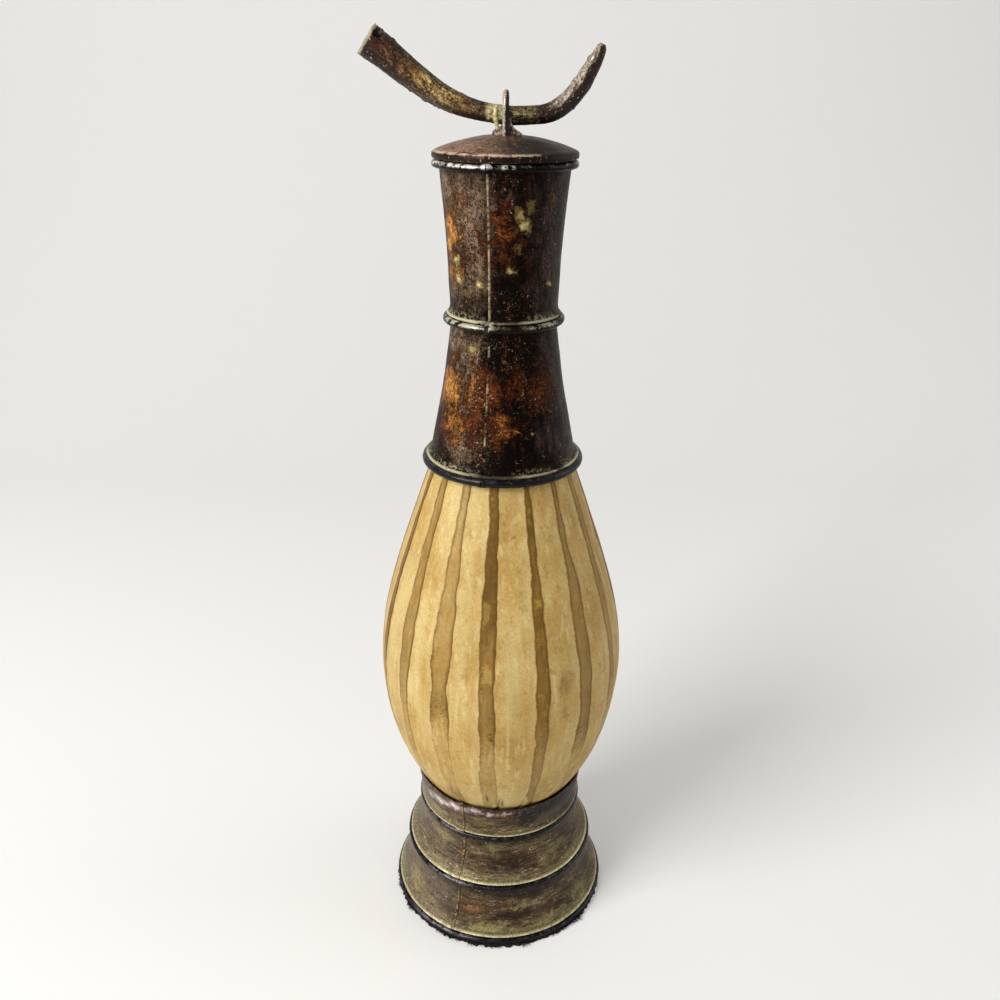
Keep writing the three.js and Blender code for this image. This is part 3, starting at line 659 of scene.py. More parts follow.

# %% [markdown]
# ## Foot tin
# The tin of the foot has a brown-grey patina, brushed round the axis, with purple-grey clouds and a
# yellow-green bloom towards each lip. The worn lip itself is pale, with a dark line beside it that is
# painted shade, where a groove would be, and each skirt is darkest under the ring above, partly as painted
# shade of that ring. The left side is painted a little paler, as light from the lamp at the left. Streaks
# are made with noise that is squeezed upright and stretched round the piece. The attributes of the rolled
# sheet place the bloom at the lip and the stain at the seam. Rust, bloom and dark patches that have a place
# of their own come in as lists. On the right side the dark patches are partly painted shade, and the glints
# on the collar's edge are painted highlights.

# %% Foot tin finish
def foot_tin(name, rust, olive, dark, painted_glints=(), band=None):
    tin = Finish(name, "#57452f")
    up = tin.read("up")
    to_edge = tin.read("to_edge")
    past_seam = tin.read("past_seam")
    front = tin.shaken(tin.unrolled(), 0.13, 26.0, 9.0 if band else 18.0)
    cloud = tin.grain(tin.place, 0.032, 4.0, 0.6)
    medium = tin.grain(tin.place, 0.14, 7.0, 0.7)
    fine = tin.grain(tin.place, 0.55, 4.0, 0.75)
    brushed = tin.grain(tin.stretch(tin.place, 0.07, 0.07, 0.36), 1.0, 6.0, 0.7, 0.6)
    stroked = tin.grain(tin.stretch(tin.place, 0.1, 0.1, 0.85), 1.0, 5.0, 0.7, 0.4)
    scratched = tin.grain(tin.stretch(tin.place, 0.13, 0.13, 1.2), 1.0, 4.0, 0.65)
    wander = tin.swing(fine, 0.8)

    tin.layer(tin.ease(brushed, 0.44, 0.62), "#77644a", 0.85)
    tin.layer(tin.ease(cloud, 0.52, 0.64), "#5f5356", 0.3)
    tin.layer(tin.ease(brushed, 0.46, 0.34), "#30231a", 0.75)
    darkened_and_shaded = tin.marks(front, wander, dark, 0.2)
    tin.layer(darkened_and_shaded, "#33241b", 0.75)
    tin.layer(tin.ease(stroked, 0.48, 0.38), "#281c14", 0.75)
    tin.layer(tin.times(tin.ease(stroked, 0.54, 0.64), tin.ease(medium, 0.4, 0.56)), "#937d5a", 0.7)
    tin.layer(tin.times(tin.ease(scratched, 0.55, 0.64), tin.ease(medium, 0.44, 0.58)), "#bba882", 0.7)
    bloom = tin.ease(tin.plus(up, tin.swing(medium, 0.7)), 0.24, -0.02)
    spared = tin.ease(darkened_and_shaded, 0.9, 0.2, 0.3, 1.0)
    bloom = tin.times(bloom, tin.ease(cloud, 0.4, 0.56, 0.25, 1.0), spared)
    bloom = tin.most(bloom, tin.marks(front, wander, olive, 0.2))
    tin.layer(tin.times(bloom, tin.ease(stroked, 0.34, 0.54, 0.45, 1.0)), "#998f5d", 0.88)
    pale = tin.ease(tin.plus(up, tin.swing(medium, 0.2)), 0.1, 0.01)
    tin.layer(tin.times(pale, tin.ease(fine, 0.36, 0.56, 0.35, 1.0)), "#bfb488", 0.8)
    if band:
        edge = tin.ease(tin.plus(up, tin.swing(medium, 0.3)), band - 0.03, band + 0.05)
        tin.layer(edge, "#33221c", 0.9)
        tin.layer(tin.times(edge, darkened_and_shaded), "#150d0a", 0.8)
        tin.layer(tin.times(edge, tin.ease(fine, 0.52, 0.64), tin.ease(darkened_and_shaded, 0.7, 0.2)), "#7a645c", 0.8)
    softly = tin.shaken(tin.unrolled(), 0.1, 12.0, 7.0)
    rusty = tin.plus(tin.marks(softly, tin.swing(fine, 0.3), rust, 0.0, 1.3), tin.swing(stroked, 1.0))
    tin.ramp(rusty, [(0.1, 0.6, "#49321f"), (0.4, 1.0, "#7c5937"), (0.75, 1.3, "#a58359")])
    # painted highlights: glints of light on the crinkled edge of the collar
    if painted_glints:
        glint = tin.plus(tin.marks(front, wander, painted_glints, 0.0, 1.2), tin.swing(stroked, 1.2))
        tin.ramp(glint, [(0.15, 0.4, "#7d6a64"), (0.4, 0.75, "#c3b1aa"), (0.75, 1.05, "#f2eae6")])
    ragged_up = tin.plus(up, tin.swing(fine, 0.05))
    lip = tin.ease(ragged_up, 0.035, 0.014)
    # painted shade: a dark line beside the lip, where a groove would be
    groove_shade = tin.times(tin.ease(ragged_up, 0.04, 0.055), tin.ease(ragged_up, 0.1, 0.075))
    tin.layer(groove_shade, "#4c4128", 0.55)
    tin.layer(tin.times(lip, tin.ease(medium, 0.36, 0.56, 0.15, 1.0)), "#dcd3aa", 0.9)
    tin.layer(tin.times(tin.ease(to_edge, 4.5, 0.4), tin.ease(medium, 0.48, 0.6)), "#80603c", 0.75)
    tin.layer(tin.times(tin.ease(to_edge, 1.6, 0.5), tin.ease(fine, 0.5, 0.6)), "#bdab84", 0.8)
    crack = tin.times(tin.ease(past_seam, 1.1, 0.2), tin.ease(past_seam, -0.9, -0.3))
    tin.layer(tin.times(crack, tin.ease(fine, 0.42, 0.54)), "#1d1511", 0.8)
    beaded = tin.times(tin.ease(past_seam, -2.0, -1.2), tin.ease(past_seam, 0.0, -0.5))
    tin.layer(tin.times(beaded, tin.ease(fine, 0.47, 0.54)), "#c4b48e", 0.8)
    # partly painted shade: each skirt darkens towards the ring above it
    if not band:
        tin.layer(tin.ease(tin.plus(up, tin.swing(medium, 0.4)), 0.58, 0.86), "#241917", 0.7)
    tin.layer(tin.times(tin.specks(1.5, 0.36), tin.ease(medium, 0.48, 0.58)), "#c8b892", 0.65)
    tin.layer(tin.times(tin.specks(1.7, 0.38), tin.ease(medium, 0.52, 0.42)), "#1f1611", 0.75)
    # the dark patches once more: dark patina, and on the right side painted shade away from the lamp
    tin.layer(darkened_and_shaded, "#1a110d", 0.8 if band else 0.45)
    # painted light: the left side, towards the lamp, is a little paler
    painted_light_left = tin.ease(tin.parts(tin.place)[0], -14.0, -56.0)
    tin.layer(tin.times(painted_light_left, tin.ease(fine, 0.34, 0.56, 0.4, 1.0)), "#b8a692", 0.17)
    tin.gritty(tin.grain(tin.place, 0.8, 2.0, 0.6), 0.7, 1.35)
    rough = tin.calc("MULTIPLY_ADD", brushed, 0.35, 0.2)
    height = tin.plus(stroked, tin.times(fine, 0.6))
    return tin.close(rough, height, 0.3 * MM, Metallic=0.3, **{"Specular IOR Level": 0.2})


print("foot tin finish ready")

# %% [markdown]
# ## Where the patina lies
# Noise alone would spread the wear evenly, and a real foot isn't worn evenly. Each list below holds the
# patches of one kind on one tier: angle from the front and height of the middle, width in degrees, height
# in millimetres and, where it is weaker than the rest, its strength. A few patches lie at the back, so that
# it isn't bare.

# %% Foot tin places
LOWER_RUST = [
    (-15, 22, 26, 11, 0.95), (-22, 22, 9, 22, 0.6), (0, 25, 26, 5, 0.5), (30, 20, 24, 8, 0.4),
    (-50, 24, 14, 8, 0.4), (110, 24, 26, 14, 0.8), (-140, 22, 24, 14, 0.8),
]
LOWER_OLIVE = [
    (-8, 11, 34, 9), (-61, 18, 22, 15, 0.9), (-46, 14, 14, 7, 0.6), (16, 24, 28, 4, 0.7),
    (58, 16, 30, 9, 0.6), (30, 12, 30, 5, 0.7),
]
# dark patches: patina all round, and on the right side also painted shade, away from the lamp
LOWER_DARK_AND_SHADE = [
    (10, 18, 30, 10), (20, 33, 80, 9), (-32, 18, 16, 18, 0.5), (48, 19, 40, 20, 0.7),
    (72, 20, 30, 26, 0.7), (-20, 11, 14, 8), (150, 26, 60, 14), (-100, 28, 40, 12),
]
MIDDLE_RUST = [(10, 60, 30, 9, 0.5), (-26, 60, 5, 24, 0.5), (120, 58, 30, 12, 0.7), (-130, 56, 30, 12, 0.7)]
MIDDLE_OLIVE = [
    (-46, 65, 28, 9), (-4, 67, 16, 5, 0.8), (34, 67, 14, 5, 0.6), (44, 57, 26, 8, 0.6), (150, 60, 40, 8),
]
MIDDLE_DARK_AND_SHADE = [
    (8, 56, 44, 12), (-34, 58, 16, 12, 0.6), (56, 60, 40, 20, 0.7), (160, 64, 50, 12), (-110, 60, 40, 12),
]
COLLAR_RUST = [
    (0, 97, 26, 8, 0.9), (-8, 91, 14, 5, 0.4), (60, 97, 24, 6, 0.6), (150, 97, 40, 7, 0.8),
    (-110, 97, 40, 7, 0.8),
]
COLLAR_OLIVE = [
    (-50, 84, 30, 7), (-30, 82, 14, 5, 0.8), (-10, 90, 20, 8, 0.5), (40, 88, 26, 9, 0.6), (170, 85, 40, 6),
]
COLLAR_DARK_AND_SHADE = [
    (-50, 88, 24, 3), (22, 90, 26, 14), (46, 94, 64, 24), (58, 84, 48, 14), (130, 90, 60, 12),
    (-130, 92, 40, 8),
]
# painted highlights: glints of light on the collar's crinkled edge
COLLAR_PAINTED_GLINTS = [
    (-32, 98, 26, 10), (-44, 95, 26, 9), (-58, 92, 20, 9, 0.8), (-18, 98, 14, 8, 0.9),
    (-7, 98, 12, 6, 0.85), (4, 99, 14, 4, 0.75), (100, 97, 40, 6, 0.6), (-150, 98, 50, 6, 0.6),
]
COLLAR_BAND = 0.64  # share of the collar's height where its dark, crinkled edge starts
LOWER_SKIRT_TIN = foot_tin("lower_skirt_tin", LOWER_RUST, LOWER_OLIVE, LOWER_DARK_AND_SHADE)
MIDDLE_SKIRT_TIN = foot_tin("middle_skirt_tin", MIDDLE_RUST, MIDDLE_OLIVE, MIDDLE_DARK_AND_SHADE)
COLLAR_TIN = foot_tin("collar_tin", COLLAR_RUST, COLLAR_OLIVE, COLLAR_DARK_AND_SHADE, COLLAR_PAINTED_GLINTS, COLLAR_BAND)

# %% [markdown]
# ## The three tiers of the foot
# A tier hangs from the ring above it, where it is straight, and swells down to the lip on its own ring. The
# profile is one curve with one control point. The collar is narrower at its waist than at its rim.

# %% Foot tiers
SKIRT_BENDS = {
    # tier: ring below, ring above, and how far the bend lies outside the top and above the lip
    "lower_skirt": ("foot_ring", "middle_ring", at(0.9 * MM, 13.0 * MM), LOWER_SKIRT_TIN),
    "middle_skirt": ("middle_ring", "collar_ring", at(1.0 * MM, 11.0 * MM), MIDDLE_SKIRT_TIN),
}
for name, (below, above, bend, tin) in SKIRT_BENDS.items():
    lip = lip_on(below)
    grip = grip_in(above)
    profile = [*arc_to(lip, at(grip[0].x, lip.y) + bend, grip[0]), grip[1]]
    piece(tier(name + "_tin", profile, tin, seam=FOOT_SEAM, seed=lip.y), "vessel", "foot_tin", name)

COLLAR_TOP_R = 56.2 * MM
COLLAR_WAIST_RISE = 5.0 * MM
collar_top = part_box("collar")[1].z
collar_waist_r = RINGS["collar_ring"][0]
collar_lip = lip_on("collar_ring") + at(RINGS["collar_ring"][2] / 2, 0.0)
waist = at(collar_waist_r, collar_lip.y + COLLAR_WAIST_RISE)
rim = at(COLLAR_TOP_R, collar_top)
collar_profile = through([collar_lip, waist, (waist + rim) / 2, rim])
collar_sizes = {"columns": 360, "seed": 0.7, "top_grip": 0.001, "dent": 0.25 * MM, "crinkle": 0.8 * MM}
collar_sizes["ragged"] = 1.4 * MM
collar = tier("collar_tin", collar_profile, COLLAR_TIN, seam=FOOT_SEAM, **collar_sizes)
piece(collar, "vessel", "foot_tin", "collar")

# %% [markdown]
# ## Black wire
# The rings of the foot and the shoulder are black lacquered wire. The lacquer is rubbed to a purple-grey on
# the top, and that paler top is partly a painted highlight, where light from above falls on it. How far the
# surface normal points that way is the mask for the wear and the highlight. Pale patches at given places are
# painted highlights where a wire catches the lamp at the left. The same finish serves every wire of the
# object, with other colours and, for the loop, another side, the one that faces the lamp at the left.

# %% Black wire finish and the rings of the foot
UP = (0.0, 0.0, 1.0)


def wire_finish(name, ground, rubbed, bright, rub_share, pale=(), shine=0.25, rubbed_and_lit_from=UP):
    wire = Finish(name, ground)
    facing = wire.vector("DOT_PRODUCT", wire.normal(), rubbed_and_lit_from)
    worn = wire.grain(wire.place, 0.2, 5.0, 0.7)
    fine = wire.grain(wire.place, 0.9, 4.0, 0.7)
    reach = wire.plus(facing, wire.swing(fine, 1.4))
    # rubbed lacquer, partly a painted highlight on the side that the light falls on
    rub_and_highlight = wire.times(wire.ease(reach, 0.2, 0.95), wire.ease(worn, 0.72 - rub_share, 0.86 - rub_share))
    wire.layer(rub_and_highlight, rubbed)
    wire.layer(wire.times(rub_and_highlight, wire.ease(fine, 0.54, 0.68)), bright)
    # pale patches: painted highlights and glints, on the drawn wires partly rubbed wear
    if pale:
        shown = wire.marks(wire.unrolled(), wire.swing(worn, 1.6), pale)
        shown = wire.times(shown, wire.ease(reach, -0.2, 0.5), wire.ease(worn, 0.42, 0.54))
        wire.layer(shown, bright, 0.95)
    rough = wire.calc("MULTIPLY_ADD", fine, 0.3, 0.15)
    return wire.close(rough, fine, 0.1 * MM, Metallic=0.3, **{"Specular IOR Level": shine})


# painted highlights on the black rings, where they face the lamp at the left
BLACK_HIGHLIGHTS = [(-32, 41, 34, 30, 0.8), (-34, 4, 40, 30, 0.8), (-48, 75, 40, 20, 0.7)]
BLACK_WIRE = wire_finish("black_wire", "#080606", "#302930", "#7b7275", 0.28, BLACK_HIGHLIGHTS, 0.34)
FOOT_RINGS = {
    # ring: angle of its joint, and how much thicker the soldered ends are
    "foot_ring": (FOOT_SEAM, 0.16),
    "middle_ring": (FOOT_SEAM, 0.16),
    "collar_ring": (math.radians(-0.5), 0.45),  # this joint shows at the front
}
for name, (joint, bead) in FOOT_RINGS.items():
    piece(ring(name, BLACK_WIRE, joint, points=280, seed=joint, beads=bead), "vessel", "black_wire", name)

# %% [markdown]
# ## Felt
# A disc of black felt is glued under the foot, and its torn edge sticks out under the ring in clumps. The
# disc is a turned shape, made by the same tool as the tin. The fuzz is thousands of small four-sided tufts
# set along the edge. They are longer where the noise is high, so that they gather in clumps, and longest at
# the front.

# %% Felt pad and fuzz
FUZZ_COUNT = 2600
FUZZ_LENGTH = 6.0 * MM
FUZZ_TIP = 0.04 * MM
FUZZ_INSET = 0.6 * MM  # the tufts start this far inside the edge of the disc
FUZZ_CLUMPS_PER_METRE = 70.0
FELT_FRAY = 3.2 * MM
FELT_ROUND = 0.5 * MM
NO_LAP = {"lap": 0.0, "climb": 0.0, "ripple": 0.0, "top_grip": 0.001}  # a turned piece with no seam


def felt_finish():
    felt = Finish("felt", "#0b0b0c")
    felt.layer(felt.ease(felt.grain(felt.place, 0.8, 5.0, 0.75), 0.45, 0.75), "#232224")
    felt.layer(felt.specks(0.5, 0.34), "#3c3a3c", 0.5)
    return felt.close(0.95, felt.grain(felt.place, 1.6, 4.0, 0.8), 0.4 * MM)


def fuzzy_edge():
    fuzz = Shaping("fuzzy_edge", count=FUZZ_COUNT, length=FUZZ_LENGTH, thick=0.24 * MM, seed=4)
    given = fuzz.given
    inputs = {"Curve": fuzz.path(), "Count": given["count"]}
    points = fuzz.add("GeometryNodeCurveToPoints", inputs, mode="COUNT").outputs[0]
    inputs = {"Vertices": 4, "Radius Top": FUZZ_TIP, "Radius Bottom": given["thick"]}
    inputs["Depth"] = given["length"]
    tuft = fuzz.add("GeometryNodeMeshCone", inputs).outputs["Mesh"]

    def chance(low, high, step):
        inputs = {2: low, 3: high, "Seed": fuzz.plus(given["seed"], step)}
        return fuzz.add("FunctionNodeRandomValue", inputs, data_type="FLOAT").outputs[1]

    outward = fuzz.add("ShaderNodeVectorMath", {0: fuzz.place()}, operation="NORMALIZE").outputs[0]
    swing = fuzz.point(chance(-0.7, 0.7, 1.0), chance(-0.7, 0.7, 2.0), chance(-0.12, 0.16, 3.0))
    lean = fuzz.vector("ADD", fuzz.stretch(outward, 1.0, 1.0, 0.0), swing)
    turned = fuzz.add("FunctionNodeAlignRotationToVector", {"Vector": lean}, axis="Z").outputs[0]
    clump = fuzz.ease(fuzz.grain(fuzz.place(), FUZZ_CLUMPS_PER_METRE, 4.0, 0.7), 0.4, 0.68, 0.25, 1.0)
    in_front = fuzz.ease(fuzz.parts(outward)[1], 0.1, -0.75, 0.3, 1.0)
    size = fuzz.times(clump, chance(0.4, 1.0, 4.0), in_front)
    inputs = {"Points": points, "Instance": tuft, "Rotation": turned}
    inputs["Scale"] = fuzz.point(1.0, 1.0, size)
    return fuzz.close(fuzz.add("GeometryNodeInstanceOnPoints", inputs).outputs[0])


FELT = felt_finish()
felt_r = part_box("felt_pad")[1].y
felt_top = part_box("felt_pad")[1].z
felt_profile = [
    at(0.0, 0.0), at(felt_r - FELT_ROUND, 0.0), at(felt_r, FELT_ROUND),
    at(felt_r, felt_top - FELT_ROUND), at(felt_r - FELT_ROUND, felt_top), at(0.0, felt_top),
]
felt_path = [(point.x, 0.0, point.y) for point in felt_profile]
felt_sizes = {**NO_LAP, "dent": 0.0, "fray": FELT_FRAY, "columns": 420, "rows": 60, "seed": 0.2}
felt_pad = shaped("felt_disc", ROLLED_TIN, felt_path, FELT, **felt_sizes)
piece(felt_pad, "vessel", "felt", "felt_pad")
fuzz_path = round_path(felt_r - FUZZ_INSET, 0.55 * felt_top, steps=180)
piece(shaped("felt_fuzz", fuzzy_edge(), fuzz_path, FELT), "vessel", "felt")

# %% [markdown]
# ## Parchment gores
# Sixteen tapered strips of parchment are pasted over the teardrop, each lapped over its neighbour. Where two
# layers lie on each other the skin looks darker, with a wavy outline. The strips were cut by hand, so every
# lap has its own width and its own shift.

# %% Gore sizes
GORES = 16
LAP_ANGLE = math.radians(-4.5)  # middle of the lap nearest the front
# width of each lap as a share of the usual one, and its shift in degrees, from the front round to the right
LAP_WIDTHS = (1.15, 0.95, 0.95, 0.85, 1.0, 0.8, 1.15, 0.95, 0.8, 1.1, 1.0, 0.85, 1.1, 0.85, 0.95, 1.25)
LAP_SHIFTS = (-1.5, 0.5, 1.0, 1.0, 0.0, -1.0, 1.2, -0.6, 0.4, -1.2, 0.8, 0.0, -0.8, 0.0, -0.5, -1.5)
LAP_TAPER = 1.3  # above 1, the laps narrow faster than the body towards its ends
LAP_NOISE_STEP = 5.3  # keeps the noise of one lap away from that of the next
SWAYS_PER_METRE = 13.0
WAVES_PER_METRE = 45.0
PUFFS_PER_METRE = 38.0
FOLDS_PER_METRE = 45.0
FOLDS_PER_RADIAN = 22.0
PARCHMENT = 0.6 * MM
LAP_LIFT = 0.3 * MM
BODY_R = 77.3 * MM
print("parchment:", GORES, "gores, one every", 360 / GORES, "degrees")

# %% [markdown]
# ## Gore tool
# The tree makes one grid for each gore, then bends all of them onto the profile. It stores how far each point
# is from the edges of the laps, in millimetres, so the finish can draw sharp stripes on a modest mesh. Near
# the collar the skin is creased beside the laps.

# %% Parchment gore tool
def lapped_gores():
    strip_sizes = {"gores": GORES, "columns": 20, "rows": 140, "first": LAP_ANGLE, "collar_top": 0.1}
    lap_sizes = {"belly_lap": 9.6 * MM, "belly_radius": BODY_R, "sway": 3.0 * MM, "wave": 5.5 * MM}
    skin_sizes = {"lift": LAP_LIFT, "puff": 0.2 * MM, "crease": 1.0 * MM, "crease_height": 17.0 * MM}
    skin = Shaping("lapped_gores", **strip_sizes, **lap_sizes, **skin_sizes)
    given = skin.given
    grid = skin.grid(given["columns"], given["rows"])
    spots = skin.add("GeometryNodePoints", {"Count": given["gores"]}).outputs[0]
    sheets = skin.add("GeometryNodeInstanceOnPoints", {"Points": spots, "Instance": grid}).outputs[0]
    sheets = skin.keep(sheets, "gore", skin.add("GeometryNodeInputIndex").outputs[0], "INSTANCE")
    sheets = skin.add("GeometryNodeRealizeInstances", {"Geometry": sheets}).outputs[0]
    across = skin.read("across")
    number = skin.read("gore")
    radius, height, out_r, out_z = skin.on_profile(skin.read("up"))
    pitch = skin.calc("DIVIDE", TURN, given["gores"])
    taper = skin.calc("POWER", skin.calc("DIVIDE", radius, given["belly_radius"]), LAP_TAPER)

    def of_lap(lap, values):
        """The value that a list holds for a lap."""
        switch = skin.add("GeometryNodeIndexSwitch", {"Index": lap}, data_type="FLOAT")
        while len(switch.index_switch_items) < len(values):
            switch.index_switch_items.new()
        for place, value in enumerate(values):
            switch.inputs[place + 1].default_value = value
        return switch.outputs[0]

    def lap_edge(lap, side):
        """Angle of one edge of a lap: side -1 is the edge underneath, and side 1 is the free edge."""
        lap_number = skin.calc("FLOORED_MODULO", lap, given["gores"])
        lot = skin.times(lap_number, LAP_NOISE_STEP)
        slow = skin.times(height, SWAYS_PER_METRE)
        wide = skin.ease(skin.grain(skin.point(lot, slow, 0.5), 1.0, 2.0), 0.3, 0.7, 0.75, 1.25)
        half = skin.times(0.5, given["belly_lap"], taper, wide, of_lap(lap_number, LAP_WIDTHS))
        sway = skin.times(skin.swing(skin.grain(skin.point(lot, slow, 2.5), 1.0, 1.0), 1.0), given["sway"])
        spot = skin.point(skin.plus(lot, side), skin.times(height, WAVES_PER_METRE), side)
        wavy = skin.times(skin.swing(skin.grain(spot, 1.0, 5.0, 0.6), 1.0), given["wave"])
        reach = skin.calc("MULTIPLY_ADD", half, side, skin.plus(sway, wavy))
        shift = of_lap(lap_number, [math.radians(degrees) for degrees in LAP_SHIFTS])
        middle = skin.calc("MULTIPLY_ADD", lap, pitch, skin.plus(given["first"], shift))
        return skin.plus(middle, skin.calc("DIVIDE", reach, radius))

    following = skin.plus(number, 1.0)
    start = lap_edge(number, -1.0)
    covered = lap_edge(number, 1.0)
    rising = lap_edge(following, -1.0)
    end = lap_edge(following, 1.0)
    angle = skin.calc("MULTIPLY_ADD", across, skin.minus(end, start), start)

    def arc(first, last):
        return skin.times(skin.minus(last, first), radius, 1 / MM)

    past_edge = arc(rising, angle)
    to_free = arc(angle, end)
    past_lap = arc(covered, angle)
    sheets = skin.keep(sheets, "past_edge", past_edge)
    sheets = skin.keep(sheets, "to_free", to_free)
    sheets = skin.keep(sheets, "past_lap", past_lap)

    bare = skin.round_place(radius, angle, height)
    puffed = skin.times(skin.swing(skin.grain(bare, PUFFS_PER_METRE, 3.0), 2.0), given["puff"])
    above = skin.calc("DIVIDE", skin.minus(height, given["collar_top"]), given["crease_height"])
    beside = [skin.ease(skin.calc("ABSOLUTE", gap), 3.4, 0.3) for gap in (past_edge, to_free, past_lap)]
    spot = skin.point(skin.times(angle, FOLDS_PER_RADIAN), skin.times(height, FOLDS_PER_METRE), 3.0)
    folds = skin.ease(skin.grain(spot, 1.0, 3.0), 0.4, 0.58)
    folds = skin.times(folds, skin.most(*beside), skin.ease(above, 1.0, 0.2))
    sheets = skin.keep(sheets, "fold", folds)
    pressed = skin.ease(above, 2.0, 5.0, 0.3, 1.0)
    lifted = skin.times(skin.ease(past_edge, -1.4, 0.8), given["lift"], pressed)
    sunk = skin.times(folds, given["crease"], -1.0)
    raised = skin.plus(lifted, puffed, sunk)
    r = skin.plus(radius, skin.times(raised, out_r))
    z = skin.plus(height, skin.times(raised, out_z))
    return skin.close(skin.move_to(sheets, skin.round_place(r, angle, z)))


LAPPED_GORES = lapped_gores()

# %% [markdown]
# ## Where the parchment is marked
# Smudges, rubbed places, creases and worn laps each have a place, in the same form as the patches of the
# foot. The rubbed places are partly painted highlights, on the left side and low down, and the creases are
# painted as dark shade lines. Three lists belong to the laps: where the dark fill is thin, where it is
# deeper, and where the whole lap has faded. Some marks lie at the back, so that it isn't bare.

# %% Parchment places
SMUDGES = [
    (2, 298, 10, 8, 0.7), (6, 294, 8, 3), (5, 310, 18, 34, 0.35), (31, 208, 8, 24), (31, 186, 6, 12, 0.6),
    (20, 190, 8, 20, 0.3), (150, 220, 20, 40, 0.7),
]
# rubbed pale places; those on the left and low down are partly painted highlights
PALE_SPOTS_AND_HIGHLIGHTS = [
    (-42, 225, 8, 76, 0.7), (-45, 195, 10, 24, 0.5), (5, 215, 12, 70, 0.7), (-38, 300, 14, 60, 0.6),
    (-62, 230, 14, 110, 0.7), (0, 114, 60, 34, 0.9), (-19, 250, 9, 150, 0.6), (30, 150, 14, 60, 0.4),
    (-130, 230, 14, 60, 0.8),
]
THIN_LAPS = [
    (-28, 262, 16, 160, 0.6), (18, 250, 14, 190, 0.06), (41, 250, 14, 190, 0.35), (64, 260, 14, 200, 0.5),
    (-50, 260, 14, 200, 0.4), (-7, 217, 7, 16, 0.75), (-8, 252, 5, 12, 0.3), (-6, 205, 10, 90, 0.25),
    (108, 250, 14, 150, 0.6), (-117, 250, 14, 160, 0.5), (153, 250, 14, 190, 0.4),
]
DEEP_LAPS = [(-6, 276, 14, 90), (18, 300, 12, 50, 0.5), (-28, 196, 10, 30, 0.6), (-6, 188, 12, 20, 0.4)]
FADED_LAPS = [
    (-28, 142, 20, 104, 0.85), (-50, 134, 20, 120, 0.75), (-5, 124, 20, 110, 0.6), (19, 128, 20, 120, 0.4),
    (41, 116, 20, 100, 0.8), (64, 140, 20, 110, 0.7), (-72, 150, 20, 110, 0.6),
    (108, 140, 20, 100, 0.8), (153, 150, 20, 120, 0.6), (-117, 150, 20, 90, 0.8), (-162, 140, 20, 110, 0.5),
]
# painted shade: the dark lines and brown of the creases near the collar
CREASE_SHADES = [
    (-27, 111, 11, 26), (-7, 111, 5, 24, 0.8), (1, 109, 5, 16), (23, 112, 5, 24, 0.9), (45, 112, 6, 20, 0.6),
    (-50, 112, 6, 20, 0.6), (130, 111, 8, 20), (-140, 111, 9, 20),
]
DARK_DROP = [(-2.5, 175, 2.4, 1.6)]
print("marks on the skin:", len(SMUDGES) + len(PALE_SPOTS_AND_HIGHLIGHTS) + len(CREASE_SHADES) + len(DARK_DROP))
print("marks on the laps:", len(THIN_LAPS) + len(DEEP_LAPS) + len(FADED_LAPS))

# %% [markdown]
# ## Parchment finish
# Parchment is never one colour. Broad warm clouds, faint streaks along the gore and small pores lie over a
# golden cream. The laps are olive-brown, streaked, and fade towards the foot on some gores. Both edges of a
# lap have a thin darker outline, where paste and dirt have gathered, and the skin just outside it is a
# little paler. Beside each free edge, the skin underneath has a dark line painted as the shadow that the
# lap casts, and the folds near the collar are painted darker as their shade.

